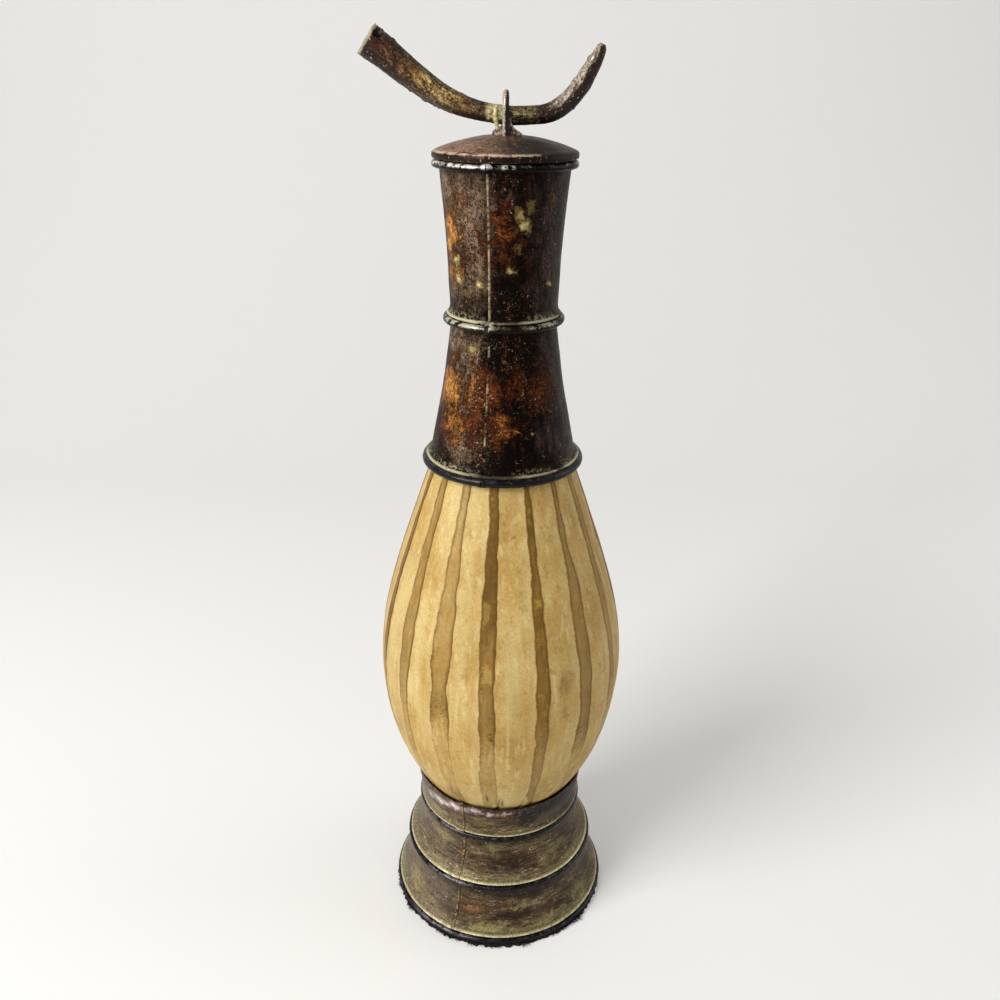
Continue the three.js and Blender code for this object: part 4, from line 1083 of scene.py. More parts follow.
# %% Parchment finish
def parchment_finish():
    skin = Finish("parchment", "#c6a15a")
    past_edge = skin.read("past_edge")
    to_free = skin.read("to_free")
    past_lap = skin.read("past_lap")
    fold = skin.read("fold")
    front = skin.shaken(skin.unrolled(), 0.1, 14.0, 30.0)
    cloud = skin.grain(skin.place, 0.03, 5.0, 0.6)
    streak = skin.grain(skin.stretch(skin.place, 0.3, 0.3, 0.018), 1.0, 4.0, 0.6)
    mottle = skin.grain(skin.place, 0.12, 7.0, 0.7)
    fine = skin.grain(skin.place, 0.6, 5.0, 0.72)
    wander = skin.swing(fine, 0.8)

    skin.layer(skin.ease(cloud, 0.44, 0.62), "#d6b874", 0.85)
    skin.layer(skin.ease(cloud, 0.46, 0.32), "#ae8a47", 0.7)
    skin.layer(skin.ease(streak, 0.52, 0.68), "#dfc98b", 0.7)
    skin.layer(skin.ease(streak, 0.45, 0.3), "#b08e4b", 0.65)
    skin.layer(skin.ease(mottle, 0.5, 0.66), "#a07b39", 0.55)
    skin.layer(skin.ease(mottle, 0.46, 0.34), "#d6be7c", 0.45)
    skin.layer(skin.ease(fine, 0.52, 0.66), "#98773b", 0.28)
    skin.layer(skin.ease(fine, 0.46, 0.34), "#dfc98f", 0.25)
    halo = skin.times(skin.ease(past_edge, -7.0, -1.2), skin.ease(past_edge, 0.2, -0.4))
    skin.layer(skin.times(halo, skin.ease(mottle, 0.38, 0.6)), "#e3cb90", 0.35)
    # pale spots, partly painted highlights on the left and low down
    skin.layer(skin.marks(front, wander, PALE_SPOTS_AND_HIGHLIGHTS, 0.2), "#e6d497", 0.55)
    smudged = skin.times(skin.marks(front, wander, SMUDGES, 0.0), skin.ease(fine, 0.3, 0.54, 0.3, 1.0))
    skin.layer(smudged, "#7d5828", 0.6)

    ragged = skin.swing(fine, 1.2)
    edge = skin.plus(past_edge, ragged)
    lapped = skin.ease(edge, -0.4, 0.4)
    shown = skin.minus(1.0, skin.marks(front, wander, FADED_LAPS, 0.5, 1.15))
    filled = skin.minus(shown, skin.marks(front, wander, THIN_LAPS, 0.5, 1.15))
    inside = skin.mix(skin.ease(streak, 0.36, 0.66), tone("#6b4907"), tone("#8a6115"))
    inside = skin.mix(skin.ease(mottle, 0.53, 0.68), inside, tone("#b0883c"))
    inside = skin.mix(skin.ease(mottle, 0.46, 0.36), inside, tone("#5a3d06"))
    inside = skin.mix(skin.ease(fine, 0.46, 0.34), inside, tone("#5a3d08"))
    inside = skin.mix(skin.times(skin.marks(front, wander, DEEP_LAPS, 0.3), 0.7), inside, tone("#553902"))
    skin.layer(skin.times(lapped, skin.most(filled, 0.12)), inside, 0.92)
    line = skin.times(skin.ease(edge, -0.8, 0.1), skin.ease(edge, 1.9, 0.3))
    free_line = skin.ease(skin.plus(to_free, ragged), 1.8, 0.2)
    # painted shadow: a dark line beside a free lap edge, on the skin underneath
    cast_shadow_line = skin.ease(skin.plus(past_lap, ragged), 0.8, 0.0)
    cast_shadow_line = skin.times(cast_shadow_line, skin.ease(past_lap, -0.6, 0.0))
    outline = skin.times(skin.most(line, free_line, cast_shadow_line), shown, skin.ease(mottle, 0.3, 0.6, 0.5, 1.0))
    skin.layer(outline, "#5f410d", 0.55)
    # painted shade: the folds near the collar are darker
    skin.layer(skin.ease(fold, 0.35, 0.95), "#6b4b22", 0.5)
    wrinkle = skin.grain(skin.stretch(skin.unrolled(), 0.5, 0.045, 0.0), 1.0, 3.0, 0.55, 0.5)
    # painted shade of the creases
    crease_shade = skin.marks(skin.unrolled(), wander, CREASE_SHADES, 0.2)
    skin.layer(crease_shade, "#927240", 0.35)
    skin.layer(skin.times(crease_shade, skin.ease(wrinkle, 0.48, 0.39)), "#3f2a14", 0.9)
    skin.layer(skin.marks(front, wander, DARK_DROP), "#4a3012", 0.8)
    skin.gritty(skin.grain(skin.place, 0.8, 2.0, 0.6), 0.93, 1.07)
    skin.layer(skin.specks(1.3, 0.29), "#7d5c28", 0.4)
    rough = skin.calc("MULTIPLY_ADD", mottle, 0.25, 0.34)
    height = skin.plus(skin.times(fine, 0.7), mottle)
    sockets = {"Specular IOR Level": 0.18, "Coat Weight": 0.04, "Coat Roughness": 0.3}
    return skin.close(rough, height, 0.35 * MM, **sockets)


PARCHMENT_SKIN = parchment_finish()

# %% [markdown]
# ## The covered body
# The lower half of the teardrop is part of an ellipse that sinks into the collar. The upper half is one
# cubic curve from the belly to the sloping shoulder. The gores run down inside the collar and up under the
# shoulder ring.

# %% Covered body
BODY_DEPTH = 122.0 * MM
BELLY_ABOVE_COLLAR = 87.52 * MM  # height of the widest place above the collar's edge
BODY_RISE = 134.0 * MM
SHOULDER_R = 42.6 * MM
SHOULDER_SLOPE = 0.345
BELLY_PULL = 36.0 * MM
SHOULDER_PULL = 60.0 * MM
TUCK_LOW = 10.0 * MM
TUCK_HIGH = 6.0 * MM
LOWER_STEPS = 40
UPPER_STEPS = 48

belly = collar_top + BELLY_ABOVE_COLLAR
shoulder = belly + BODY_RISE
lowest = math.asin((belly - collar_top + TUCK_LOW) / BODY_DEPTH)
lower_half = [
    at(BODY_R * math.cos(turn), belly - BODY_DEPTH * math.sin(turn))
    for turn in (lowest * (1 - step / LOWER_STEPS) for step in range(LOWER_STEPS))
]
upper_half = interpolate_bezier(
    at(BODY_R, belly),
    at(BODY_R, belly + BELLY_PULL),
    at(SHOULDER_R + SHOULDER_SLOPE * SHOULDER_PULL, shoulder - SHOULDER_PULL),
    at(SHOULDER_R, shoulder),
    UPPER_STEPS,
)
tucked = at(SHOULDER_R - SHOULDER_SLOPE * TUCK_HIGH, shoulder + TUCK_HIGH)
body_path = [(point.x, 0.0, point.y) for point in [*lower_half, *upper_half, tucked]]
gore_sizes = {"wall": PARCHMENT, "collar_top": collar_top}
gores = shaped("parchment_gores", LAPPED_GORES, body_path, PARCHMENT_SKIN, **gore_sizes)
piece(gores, "vessel", "parchment", *[f"gore_{number:02d}" for number in range(1, GORES + 1)])

# %% [markdown]
# ## Neck tin
# The neck was painted dark umber over tin, rubbed through to copper in places, flicked with cream and
# dry-brushed at each lip and along the seam. The patches that show at the front have their own places.
# Elsewhere noise spreads the same patches round the back. A trace of clear coat gives the faint sheen of
# old lacquer. The grey patches, large on the right, are partly a painted sheen, and the top of each stage
# is painted almost black as shade under the ring above.

# %% Neck tin finish
SCRATCH_LEAN = math.radians(-30)  # the hair scratches run down to the right
# colours of a rubbed patch from its rim to its middle
RUST_HEAT = [(0.15, 0.4, "#331608"), (0.42, 0.7, "#582a0f"), (0.74, 1.0, "#8a4c1b"), (1.02, 1.3, "#c48640")]
TAN_HEAT = [(0.15, 0.4, "#44260f"), (0.4, 0.66, "#825327"), (0.68, 0.96, "#b97f3d"), (1.0, 1.3, "#dfae68")]
CREAM_HEAT = [(0.3, 0.6, "#5e4d2c"), (0.6, 0.9, "#a5915f"), (0.95, 1.2, "#ddcf9c")]


def neck_tin(name, seam_low, **places):
    tin = Finish(name, "#0a0503")
    up = tin.read("up")
    to_edge = tin.read("to_edge")
    past_seam = tin.read("past_seam")
    plain = tin.unrolled()
    front = tin.shaken(plain, 0.11, 70.0, 42.0)
    x, y, z = tin.parts(tin.place)
    behind = tin.ease(y, -6.0, 14.0)
    upright = tin.grain(tin.stretch(tin.place, 0.2, 0.2, 0.05), 1.0, 6.0, 0.7, 0.4)
    medium = tin.grain(tin.place, 0.13, 8.0, 0.74)
    fine = tin.grain(tin.place, 0.5, 4.0, 0.75)
    grit = tin.grain(tin.place, 0.8, 2.0, 0.6)
    along = tin.plus(tin.times(x, math.cos(SCRATCH_LEAN)), tin.times(z, math.sin(SCRATCH_LEAN)))
    beside = tin.minus(tin.times(z, math.cos(SCRATCH_LEAN)), tin.times(x, math.sin(SCRATCH_LEAN)))
    hairs = tin.grain(tin.point(tin.times(along, 0.09), tin.times(beside, 0.8), 0.0), 1.0, 3.0, 0.6, 0.6)
    wander = tin.plus(tin.swing(medium, 0.8), tin.swing(fine, 0.5))

    def spread(kind, lot, where, core=0.0, rim=1.3):
        """The patches of one kind that show at the front, and clouds of the same kind behind."""
        cloud = tin.grain(tin.vector("ADD", tin.place, (lot, lot, lot)), 0.035, 6.0, 0.7)
        clouds = tin.times(tin.ease(cloud, 0.46, 0.72), behind)
        return tin.most(tin.marks(where, wander, places[kind], core, rim), clouds)

    def heated(kind, lot, steps):
        """Patches whose colour rises with the heat at their middle, broken up by grain of every size."""
        grainy = tin.plus(tin.swing(fine, 1.7), tin.swing(upright, 1.0), tin.swing(medium, 0.8))
        tin.ramp(tin.plus(spread(kind, lot, front), grainy), steps)

    tin.layer(tin.ease(upright, 0.46, 0.68), "#26110a")
    tin.layer(tin.ease(medium, 0.54, 0.68), "#1c100b", 0.8)
    # painted sheen: the grey patches, large on the right, partly stand in for the sheen of light
    painted_sheen_tone = tin.mix(tin.ease(upright, 0.36, 0.64), tone("#1d1715"), tone("#4a3e3a"))
    tin.layer(spread("grey", 30.0, front, 0.2), painted_sheen_tone, 0.8)
    dull_tone = tin.mix(tin.ease(medium, 0.36, 0.6), tone("#463326"), tone("#a0856b"))
    dull_tone = tin.mix(tin.ease(fine, 0.47, 0.36), dull_tone, tone("#22170f"))
    tin.layer(spread("dull", 0.0, front, 0.1), dull_tone, 0.88)
    heated("rust", 60.0, RUST_HEAT)
    heated("tan", 120.0, TAN_HEAT)
    scratched = tin.marks(front, wander, places["scratched"], 0.2)
    tin.layer(tin.times(tin.ease(hairs, 0.57, 0.64), scratched), "#b97c40", 0.6)
    tin.gritty(grit, 0.5, 1.7)
    softly = tin.shaken(plain, 0.2, 22.0, 13.0)
    flick = tin.plus(spread("cream", 180.0, softly), tin.swing(fine, 0.8), tin.swing(medium, 0.4))
    tin.ramp(flick, CREAM_HEAT)
    sprayed = tin.marks(front, wander, places["speckled"], 0.2)
    spray = tin.most(sprayed, tin.times(tin.ease(medium, 0.48, 0.6), behind))
    tin.layer(tin.times(tin.specks(1.6, 0.4, 0.12), spray), "#0d0604", 0.8)
    tin.layer(tin.times(tin.specks(1.6, 0.36, 0.1, 1.6), spray), "#cbb492", 0.65)
    flecks = tin.specks(1.9, 0.3, 0.08, 1.6)
    tin.layer(tin.times(flecks, tin.ease(upright, 0.4, 0.6, 0.3, 1.0)), "#d3c6a8", 0.6)

    lip = tin.ease(tin.plus(up, tin.swing(fine, 0.016)), 0.02, 0.008)
    at_lip = tin.marks(plain, wander, places["lip"])
    tin.layer(tin.times(lip, tin.most(at_lip, tin.ease(medium, 0.46, 0.6, 0.1, 0.6))), "#dbd2b0", 0.95)
    tin.layer(tin.times(at_lip, tin.ease(up, 0.075, 0.01), tin.ease(fine, 0.48, 0.6)), "#c9bd94", 0.75)
    # painted shade: the top of each stage is near-black under the ring above
    tin.layer(tin.ease(up, 0.93, 0.98), "#0b0705", 0.8)
    broken = tin.grain(tin.stretch(tin.place, 0.03, 0.03, 0.14), 1.0, 5.0, 0.7)
    at_seam = tin.times(tin.ease(past_seam, 0.5, 0.2), tin.ease(past_seam, -0.3, 0.0))
    at_seam = tin.most(at_seam, tin.ease(to_edge, 0.7, 0.4))
    at_seam = tin.times(at_seam, tin.ease(broken, seam_low, seam_low + 0.16))
    tin.layer(tin.times(at_seam, tin.ease(fine, 0.36, 0.54, 0.3, 1.0)), "#e2cba6", 0.92)
    facing_x, facing_y, _ = tin.parts(tin.normal())
    facing_out = tin.plus(tin.times(x, facing_x), tin.times(y, facing_y))
    tin.layer(tin.ease(facing_out, -4.0, -16.0), tin.mix(medium, tone("#120c09"), tone("#30241d")), 0.95)
    rough = tin.calc("MULTIPLY_ADD", medium, 0.3, 0.24)
    height = tin.plus(medium, tin.times(fine, 0.6))
    sockets = {"Metallic": 0.2, "Specular IOR Level": 0.05, "Coat Weight": 0.015, "Coat Roughness": 0.25}
    return tin.close(rough, height, 0.3 * MM, **sockets)


print("neck tin finish ready")

# %% [markdown]
# ## Where the paint is worn
# Each kind of wear on the neck has its own list, in the same form as before, for the tube and for the cone.
# A lower number for the seam leaves more of its bright edge unbroken.

# %% Neck tin places
TUBE_TIN = neck_tin(
    "neck_tube_tin",
    seam_low=0.4,
    dull=[(-42, 466, 62, 64), (-28, 446, 36, 50, 0.85), (-62, 480, 44, 26), (-60, 430, 40, 24, 0.7)],
    # grey patches: the large one on the right is partly painted sheen
    grey=[(56, 452, 60, 150), (4, 479, 8, 9, 0.9), (50, 478, 10, 8), (28, 455, 6, 12, 0.8)],
    rust=[
        (-6, 464, 24, 40, 0.66), (-8, 446, 22, 24, 0.4), (-52, 448, 60, 60, 0.45), (13, 453, 20, 14, 0.55),
        (-24, 455, 24, 40, 0.4),
    ],
    tan=[(-62, 459, 50, 34, 1.05), (-62, 438, 42, 24, 0.8), (-52, 470, 44, 40, 0.4)],
    cream=[
        (12, 470, 13, 15, 0.9), (18, 464, 16, 12, 1.15), (24, 473, 13, 13, 0.7), (13, 453, 16, 10, 0.55),
        (7, 441, 14, 7, 1.05), (-24, 434, 13, 8, 1.15), (51, 433, 14, 6, 0.95), (-55, 444, 20, 9, 1.15),
        (-52, 435, 20, 11, 1.1), (-25, 464, 14, 7, 0.5), (-42, 428, 14, 7, 0.65), (50, 478, 10, 6, 0.5),
        (4, 479, 8, 7, 0.5),
    ],
    speckled=[(-42, 455, 64, 80, 0.9), (-4, 484, 40, 14, 0.8), (-50, 425, 50, 20), (8, 424, 60, 16, 0.7)],
    scratched=[(-3, 465, 20, 10, 0.8)],
    lip=[(-58, 413, 76, 16), (42, 413, 50, 14, 0.6), (170, 413, 120, 16, 0.9)],
)
CONE_TIN = neck_tin(
    "neck_cone_tin",
    seam_low=0.47,
    dull=[(-60, 401, 54, 24), (-36, 392, 28, 34, 0.8), (-36, 344, 40, 20, 0.8), (-36, 370, 24, 60, 0.5)],
    # grey patches: the large one on the right is partly painted sheen
    grey=[(62, 370, 44, 150), (42, 348, 40, 26, 0.6)],
    rust=[
        (-4, 357, 32, 22, 0.9), (-13, 376, 34, 34, 0.75), (-28, 366, 32, 64, 0.7), (10, 380, 34, 40, 0.5),
        (38, 375, 40, 44, 0.6), (-60, 352, 44, 40, 0.65),
    ],
    tan=[
        (-64, 374, 54, 38, 0.85), (-46, 354, 40, 34, 0.62), (-28, 376, 30, 34, 0.5), (-4, 356, 18, 9, 0.6),
        (40, 378, 26, 24, 0.25),
    ],
    cream=[
        (-34, 398, 22, 9, 0.95), (-17, 368, 3, 3, 1.0), (-44, 352, 18, 12, 0.5), (17, 375, 3, 3, 1.1),
        (26, 352, 3, 3, 1.0),
    ],
    speckled=[(-32, 372, 50, 100, 0.95), (-34, 340, 50, 20), (5, 398, 60, 20, 0.8), (35, 372, 50, 40, 0.5)],
    scratched=[(2, 356, 34, 9), (-10, 374, 20, 10, 0.5)],
    lip=[(-58, 331, 70, 16), (24, 331, 30, 12, 0.5), (70, 331, 34, 14, 0.9), (165, 331, 120, 16, 0.9)],
)

# %% [markdown]
# ## The two stages of the neck
# The cone flares out onto the shoulder ring and runs up inside the waist ring. The tube does the same
# between the waist ring and the mouth ring, and its upper edge stands just above the mouth ring to carry
# the lid.

# %% Neck cone and tube
CONE_FLARE_RISE = 10.9 * MM
CONE_FOOT_R = 41.7 * MM
CONE_MIDDLE_R = 34.9 * MM
TUBE_FLARE_RISE = 7.5 * MM
TUBE_FOOT_R = 30.5 * MM
TUBE_MIDDLE_R = 32.1 * MM


def stage_profile(below, above, foot, middle_r, top):
    """A neck stage: a flare from its lip to the foot of the wall, then a wall that bends a little."""
    lip = lip_on(below)
    grip = grip_in(above)
    flare = arc_to(lip, at(foot.x + SHEET / 2, lip.y + SHEET), foot, 12)
    wall = through([foot, at(middle_r, (foot.y + grip[0].y) / 2), grip[0]])
    return [*flare, *wall[1:], at(grip[1].x, top)]


cone_foot = at(CONE_FOOT_R, RINGS["shoulder_ring"][1] + CONE_FLARE_RISE)
cone_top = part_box("neck_cone")[1].z
cone_profile = stage_profile("shoulder_ring", "waist_ring", cone_foot, CONE_MIDDLE_R, cone_top)
tube_foot = at(TUBE_FOOT_R, RINGS["waist_ring"][1] + TUBE_FLARE_RISE)
tube_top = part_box("neck_tube")[1].z
tube_profile = stage_profile("waist_ring", "mouth_ring", tube_foot, TUBE_MIDDLE_R, tube_top)
neck_sizes = {"seam": NECK_SEAM, "columns": 220, "rows": 90, "dent": 0.4 * MM}
for name, profile, tin in (("neck_cone", cone_profile, CONE_TIN), ("neck_tube", tube_profile, TUBE_TIN)):
    piece(tier(name + "_tin", profile, tin, seed=profile[0].y, **neck_sizes), "vessel", "neck_tin", name)

# %% [markdown]
# ## The rings of the neck
# The shoulder ring is black like those of the foot. The waist and mouth rings are drawn wire, lumpy from
# the solder that ran along them and rubbed almost white in places. The pale places on their left and front
# are partly painted highlights and glints. The wire tool and the wire finish are used again, with more
# lumps and other colours.

# %% Neck rings
# pale places on the drawn wire: rubbed wear, and on the left painted highlights and glints
WAIST_WEAR_AND_HIGHLIGHTS = [
    (-48, 410, 60, 60, 0.8), (-14.5, 410, 10, 60, 1.3), (40, 410, 40, 40, 0.4), (160, 410, 80, 60, 0.7),
]
MOUTH_WEAR_AND_GLINTS = [
    (-62, 492, 50, 60, 0.9), (-42, 492, 36, 60), (-22, 492, 30, 60, 0.8), (2, 492, 10, 60),
    (78, 492, 16, 20, 0.8), (150, 492, 90, 60, 0.7),
]
WAIST_WIRE = wire_finish("waist_wire", "#17100b", "#5a503a", "#e3dcc4", 0.28, WAIST_WEAR_AND_HIGHLIGHTS, 0.14)
MOUTH_WIRE = wire_finish("mouth_wire", "#0b0806", "#463f36", "#fbf6ea", 0.26, MOUTH_WEAR_AND_GLINTS, 0.12)
NECK_RINGS = {
    # ring: finish, slot, points, seed, and how lumpy the wire and its ends are
    "shoulder_ring": (BLACK_WIRE, "black_wire", 240, 0.3, {"lumps": 0.08, "beads": 0.2}),
    "waist_ring": (WAIST_WIRE, "drawn_wire", 260, 0.5, {"lumps": 0.16, "beads": 0.5}),
    "mouth_ring": (MOUTH_WIRE, "drawn_wire", 300, 0.8, {"lumps": 0.24, "beads": 0.3}),
}
for name, (finish, slot, points, seed, lumpy) in NECK_RINGS.items():
    piece(ring(name, finish, NECK_SEAM, points=points, seed=seed, **lumpy), "vessel", slot, name)

# %% [markdown]
# ## Lid finish
# The lid is painted copper-brown and rubbed all over, so noise of three sizes lays dark and light over the
# ground. It is darker towards the back, and its right side is painted dark as shade, away from the lamp at
# the left. The height up the sheet tells the rim from the crown, and the edge between them is rubbed pale
# in dots, which are partly a painted highlight along the front of the edge.

# %% Lid finish
RIM_WEAR_AND_HIGHLIGHT = [(-40, 499, 90, 20), (8, 499, 40, 20, 0.8), (150, 499, 100, 20, 0.8)]


def lid_tin():
    tin = Finish("lid_tin", "#70543f")
    up = tin.read("up")
    front = tin.unrolled()
    x, y, _ = tin.parts(tin.place)
    cloud = tin.grain(tin.place, 0.06, 5.0, 0.65, 0.5)
    medium = tin.grain(tin.place, 0.25, 5.0, 0.7)
    fine = tin.grain(tin.place, 0.5, 4.0, 0.75)
    tin.layer(tin.ease(cloud, 0.38, 0.6), "#9d7d63", 0.9)
    tin.layer(tin.ease(fine, 0.47, 0.36), "#3c251b", 0.8)
    tin.layer(tin.ease(medium, 0.48, 0.34), "#39221a", 0.85)
    tin.layer(tin.ease(fine, 0.53, 0.64), "#c3a183", 0.7)
    tin.layer(tin.times(tin.ease(y, -10.0, 20.0), tin.ease(medium, 0.3, 0.55)), "#33201a", 0.75)
    tin.gritty(tin.grain(tin.place, 0.8, 2.0, 0.6), 0.6, 1.45)
    # painted shade: the right side of the lid, away from the lamp at the left, is painted dark
    shaded = tin.ease(tin.plus(x, tin.swing(cloud, 50.0)), -16.0, 10.0)
    tin.layer(tin.times(shaded, tin.ease(fine, 0.3, 0.42)), "#120906", 0.93)
    side = tin.ease(tin.plus(up, tin.swing(fine, 0.02)), 0.085, 0.065)
    tin.layer(side, "#150905", 0.95)
    tin.layer(tin.times(side, tin.ease(medium, 0.57, 0.67)), "#6e452c", 0.7)
    ragged_up = tin.plus(up, tin.swing(fine, 0.035))
    # rubbed pale dots along the edge, partly a painted highlight along its front
    edge = tin.times(tin.ease(ragged_up, 0.066, 0.084), tin.ease(ragged_up, 0.135, 0.1))
    dotted = tin.times(tin.marks(front, tin.swing(medium, 0.8), RIM_WEAR_AND_HIGHLIGHT), tin.ease(medium, 0.38, 0.52))
    tin.layer(tin.times(edge, dotted), "#e0c0a4", 0.9)
    tin.layer(tin.specks(1.3, 0.33), "#d0ae8a", 0.6)
    rough = tin.calc("MULTIPLY_ADD", medium, 0.3, 0.26)
    height = tin.plus(medium, tin.times(fine, 0.5))
    sockets = {"Metallic": 0.2, "Specular IOR Level": 0.14, "Coat Weight": 0.04, "Coat Roughness": 0.3}
    return tin.close(rough, height, 0.2 * MM, **sockets)


LID_TIN = lid_tin()

# %% [markdown]
# ## Lid dome and sleeve
# The lid is a shallow dome with a turned-down rim, beaten from one disc, so it has no seam. The same
# rolling tool makes it with no lap: the two ends of the sheet meet and are welded. The crown is part of a
# ball, so its height follows from the radius. Under it a straight sleeve with a flange drops into the neck.

# %% Lid dome and sleeve
LID_R = 39.3 * MM
LID_RIM = 3.2 * MM
LID_RISE = 8.2 * MM
RIM_STRAIGHT = 0.62  # share of the rim that is straight
RIM_ROUND = 1.4 * MM
EDGE_INSET = 0.3 * MM  # the lower edge of the rim is filed off by this much
EDGE_RISE = 0.5 * MM
CROWN_STEPS = 24
rim_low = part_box("lid_dome")[0].z
dome_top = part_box("lid_dome")[1].z
dome_ball = (LID_R**2 + LID_RISE**2) / (2 * LID_RISE)


def on_dome(radius):
    return at(radius, dome_top - dome_ball + math.sqrt(dome_ball**2 - radius**2))


rim_start = at(LID_R, rim_low + RIM_STRAIGHT * LID_RIM)
rim_curve = arc_to(rim_start, on_dome(LID_R), on_dome(LID_R - RIM_ROUND), 8)
crown = [on_dome((LID_R - RIM_ROUND) * (1 - step / CROWN_STEPS)) for step in range(1, CROWN_STEPS + 1)]
filed_edge = [at(LID_R - EDGE_INSET, rim_low), at(LID_R, rim_low + EDGE_RISE)]
dome_profile = [*filed_edge, *rim_curve, *crown]
dome_sizes = {**NO_LAP, "columns": 200, "rows": 70, "dent": 0.4 * MM, "seed": 0.4}
lid_dome = tier("lid_dome_tin", dome_profile, LID_TIN, **dome_sizes)
piece(lid_dome, "lid", "lid_tin", "lid_dome")

sleeve_low, sleeve_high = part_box("lid_sleeve")
sleeve_r = max(
    math.hypot(v.co.x, v.co.y)
    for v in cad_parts["lid_sleeve"].data.vertices
    if v.co.z < sleeve_low.z + SHEET
)
flange = sleeve_high.z - SHEET
sleeve_profile = [at(sleeve_r, sleeve_low.z), at(sleeve_r, flange), at(sleeve_high.y, flange)]
sleeve_sizes = {**NO_LAP, "columns": 160, "dent": 0.0, "seed": 0.6}
lid_sleeve = tier("lid_sleeve_tin", sleeve_profile, LID_TIN, **sleeve_sizes)
piece(lid_sleeve, "lid", "lid_tin", "lid_sleeve")

# %% [markdown]
# ## Twig
# The handle is a bent twig with a sawn end, a knot hole and a blunt tip. A line along its middle carries a
# thickness at each point, and a circle swept along it makes the wood. The tree then works the bark: long
# ridges that follow the twig, loose flakes, and the hollow of the knot.

# %% Twig tool
FLAKES_PER_METRE = 190.0
PITS_PER_METRE = 420.0
RIDGE_STEPS = 9.0  # how far the noise of the ridges moves on between the ends of the twig


def bark_twig():
    bark_sizes = {"points": 240, "sides": 48, "ridge": 0.6 * MM, "flake": 0.5 * MM, "pit": 0.35 * MM}
    knot_sizes = {"knot_depth": 2.4 * MM, "knot_radius": 2.4 * MM, "burr": 0.5 * MM}
    knot_place = {"knot_x": 0.0, "knot_y": 0.0, "knot_z": 0.0}
    wood = Shaping("bark_twig", **bark_sizes, **knot_sizes, **knot_place)
    given = wood.given
    mesh = wood.tube(wood.even_path(), 1.0, wood.read("thick"))

    outward = wood.add("GeometryNodeInputNormal").outputs[0]
    bark = wood.vector("ADD", outward, wood.point(wood.times(wood.read("along"), RIDGE_STEPS), 0.0, 0.0))
    mesh = wood.keep(mesh, "bark", bark, kind="FLOAT_VECTOR")
    ridged = wood.swing(wood.grain(bark, 1.7, 4.0, 0.6, 0.6), 2.0)
    flaked = wood.ease(wood.grain(wood.place(), FLAKES_PER_METRE, 2.0), 0.6, 0.68)
    pitted = wood.swing(wood.grain(wood.place(), PITS_PER_METRE, 3.0), 1.0)
    bumps = wood.plus(wood.times(ridged, given["ridge"]), wood.times(flaked, given["flake"]))
    bumps = wood.plus(bumps, wood.times(pitted, given["pit"]))

    middle = wood.point(given["knot_x"], given["knot_y"], given["knot_z"])
    knot = wood.calc("DIVIDE", wood.vector("DISTANCE", wood.place(), middle), given["knot_radius"])
    hollow = wood.times(wood.ease(knot, 1.15, 0.45), given["knot_depth"])
    burr = wood.times(wood.ease(knot, 2.0, 1.2), wood.ease(knot, 0.9, 1.2), given["burr"])
    relief = wood.plus(bumps, wood.minus(burr, hollow))
    mesh = wood.keep(mesh, "knot", knot)
    return wood.close(wood.shift(mesh, wood.scaled(outward, relief)))


BARK_TWIG = bark_twig()

# %% [markdown]
# ## Twig finish
# The twig was dipped in dark paint and then rubbed: tan and gold on the left arm, maroon near the saw cut,
# a cream splash beside the loop and a pinkish bloom on the right arm. That bloom lies on the side that faces
# the light, so it is partly painted light, and the other side of the right arm and the underside of the
# twig are painted dark as shade. The knot's hollow is painted near-black as shade. The share along the
# twig places these, and noise stretched along it gives the streaks of the bark.

